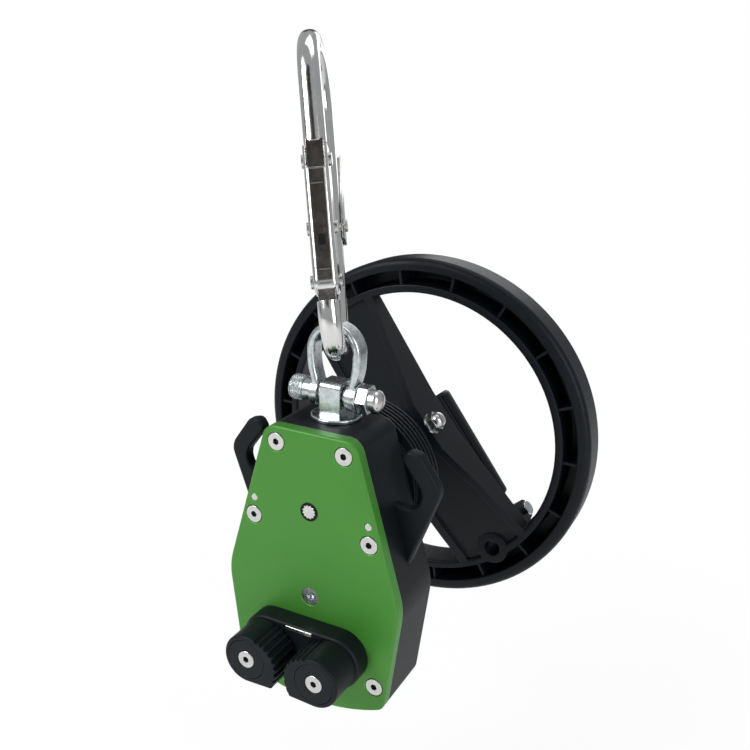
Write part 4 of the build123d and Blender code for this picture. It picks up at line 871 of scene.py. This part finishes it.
class WINCH_OT_stage(bpy.types.Operator):
    """Makes the room, the floor, the flags, the lamps and the camera"""

    bl_idname = "winch.stage"
    bl_label = "Studio"

    def execute(self, context):
        context.scene.view_settings.view_transform = "Standard"
        middle = (cad_low + cad_high) / 2
        self.room(context.scene)
        self.floor(middle)
        for name, place, size, watts in LAMPS:
            lamp(name, place, middle, size, watts)
        self.flags(middle)
        self.camera(context.scene)
        return {"FINISHED"}

    def room(self, scene):
        """A softly lit room whose walls the camera sees as white."""
        scene.world = bpy.data.worlds.new("studio_world")
        scene.world.use_nodes = True
        tree = scene.world.node_tree
        soft = tree.nodes["Background"]
        soft.inputs["Color"].default_value = (*linear("#EDF0F3"), 1)
        soft.inputs["Strength"].default_value = ROOM_LIGHT
        plain = {"Color": (1, 1, 1, 1), "Strength": 1.0}
        white = add(tree, "ShaderNodeBackground", plain).outputs[0]
        seen_white(tree, soft.outputs[0], white, tree.nodes["World Output"].inputs["Surface"])

    def floor(self, middle):
        """White paper that keeps a soft shadow under the part and is plain white further off."""
        under = Vector((middle.x, middle.y, cad_low.z - FLOOR_DROP))
        floor = card("floor", under, under + UP, FLOOR_WIDE, FLOOR_WIDE)
        paper = matt("paper_white", "#F4F4F3", 0.9)
        tree = paper.node_tree
        place = add(tree, "ShaderNodeTexCoord").outputs["Object"]
        away = add(tree, "ShaderNodeVectorMath", {1: under}, {0: place}, operation="DISTANCE")
        apart = {"Value": away.outputs["Value"]}
        far = add(tree, "ShaderNodeMapRange", FLOOR_FADE, apart).outputs["Result"]
        glow = add(tree, "ShaderNodeEmission", {"Strength": 1.0}).outputs[0]
        lit = tree.nodes["Principled BSDF"].outputs[0]
        seen_white(tree, lit, glow, tree.nodes["Material Output"].inputs["Surface"], far)
        floor.data.materials.append(paper)

    def flags(self, middle):
        """Cards of dark cloth that darken what polished metal mirrors, and nothing else."""
        cloth = matt("cloth_black", "#3A332E", 1.0)
        for name, way, wide, tall, far in FLAGS:
            flag = card(name, middle + Vector(way) * far, middle, wide, tall)
            flag.data.materials.append(cloth)
            flag.visible_camera = flag.visible_shadow = flag.visible_diffuse = False

    def camera(self, scene):
        """The camera, which looks down at the part from the front and the right."""
        right, back = Vector(CAMERA_RIGHT), Vector(CAMERA_BACK).normalized()
        up = back.cross(right).normalized()
        data = bpy.data.cameras.new("camera")
        data.sensor_width = SENSOR_WIDE
        data.lens = LENS
        data.clip_start, data.clip_end = 0.01, 50
        camera = bpy.data.objects.new("camera", data)
        aim = Matrix((up.cross(back).normalized(), up, back)).transposed().to_4x4()
        camera.matrix_world = Matrix.Translation(at(*CAMERA_PLACE)) @ aim
        scene.collection.objects.link(camera)
        scene.camera = camera


OPERATORS = (
    WINCH_OT_nodes,
    WINCH_OT_shell,
    WINCH_OT_cleat,
    WINCH_OT_wheel,
    WINCH_OT_hanger,
    WINCH_OT_springs,
    WINCH_OT_marks,
    WINCH_OT_screws,
    WINCH_OT_shaft_end,
    WINCH_OT_bolt,
    WINCH_OT_stage,
)


class WINCH_PT_panel(bpy.types.Panel):
    """Lists the winch's sizes, colours and pieces in the sidebar"""

    bl_label = "Winch"
    bl_idname = "WINCH_PT_panel"
    bl_space_type = "VIEW_3D"
    bl_region_type = "UI"
    bl_category = "Winch"

    def draw(self, context):
        for group in (context.scene.winch_sizes, context.scene.winch_colours):
            for key in group.__annotations__:
                self.layout.prop(group, key)
        for operator in OPERATORS:
            self.layout.operator(operator.bl_idname)


CLASSES = (WinchColours, WinchSizes, *OPERATORS, WINCH_PT_panel)


def register():
    for made in CLASSES:
        bpy.utils.register_class(made)
    bpy.types.Scene.winch_colours = PointerProperty(type=WinchColours)
    bpy.types.Scene.winch_sizes = PointerProperty(type=WinchSizes)


def unregister():
    del bpy.types.Scene.winch_sizes
    del bpy.types.Scene.winch_colours
    for made in reversed(CLASSES):
        bpy.utils.unregister_class(made)


def main():
    """Makes every piece in order."""
    register()
    for operator in OPERATORS:
        getattr(bpy.ops.winch, operator.bl_idname.split(".")[1])()


if __name__ == "__main__":
    main()
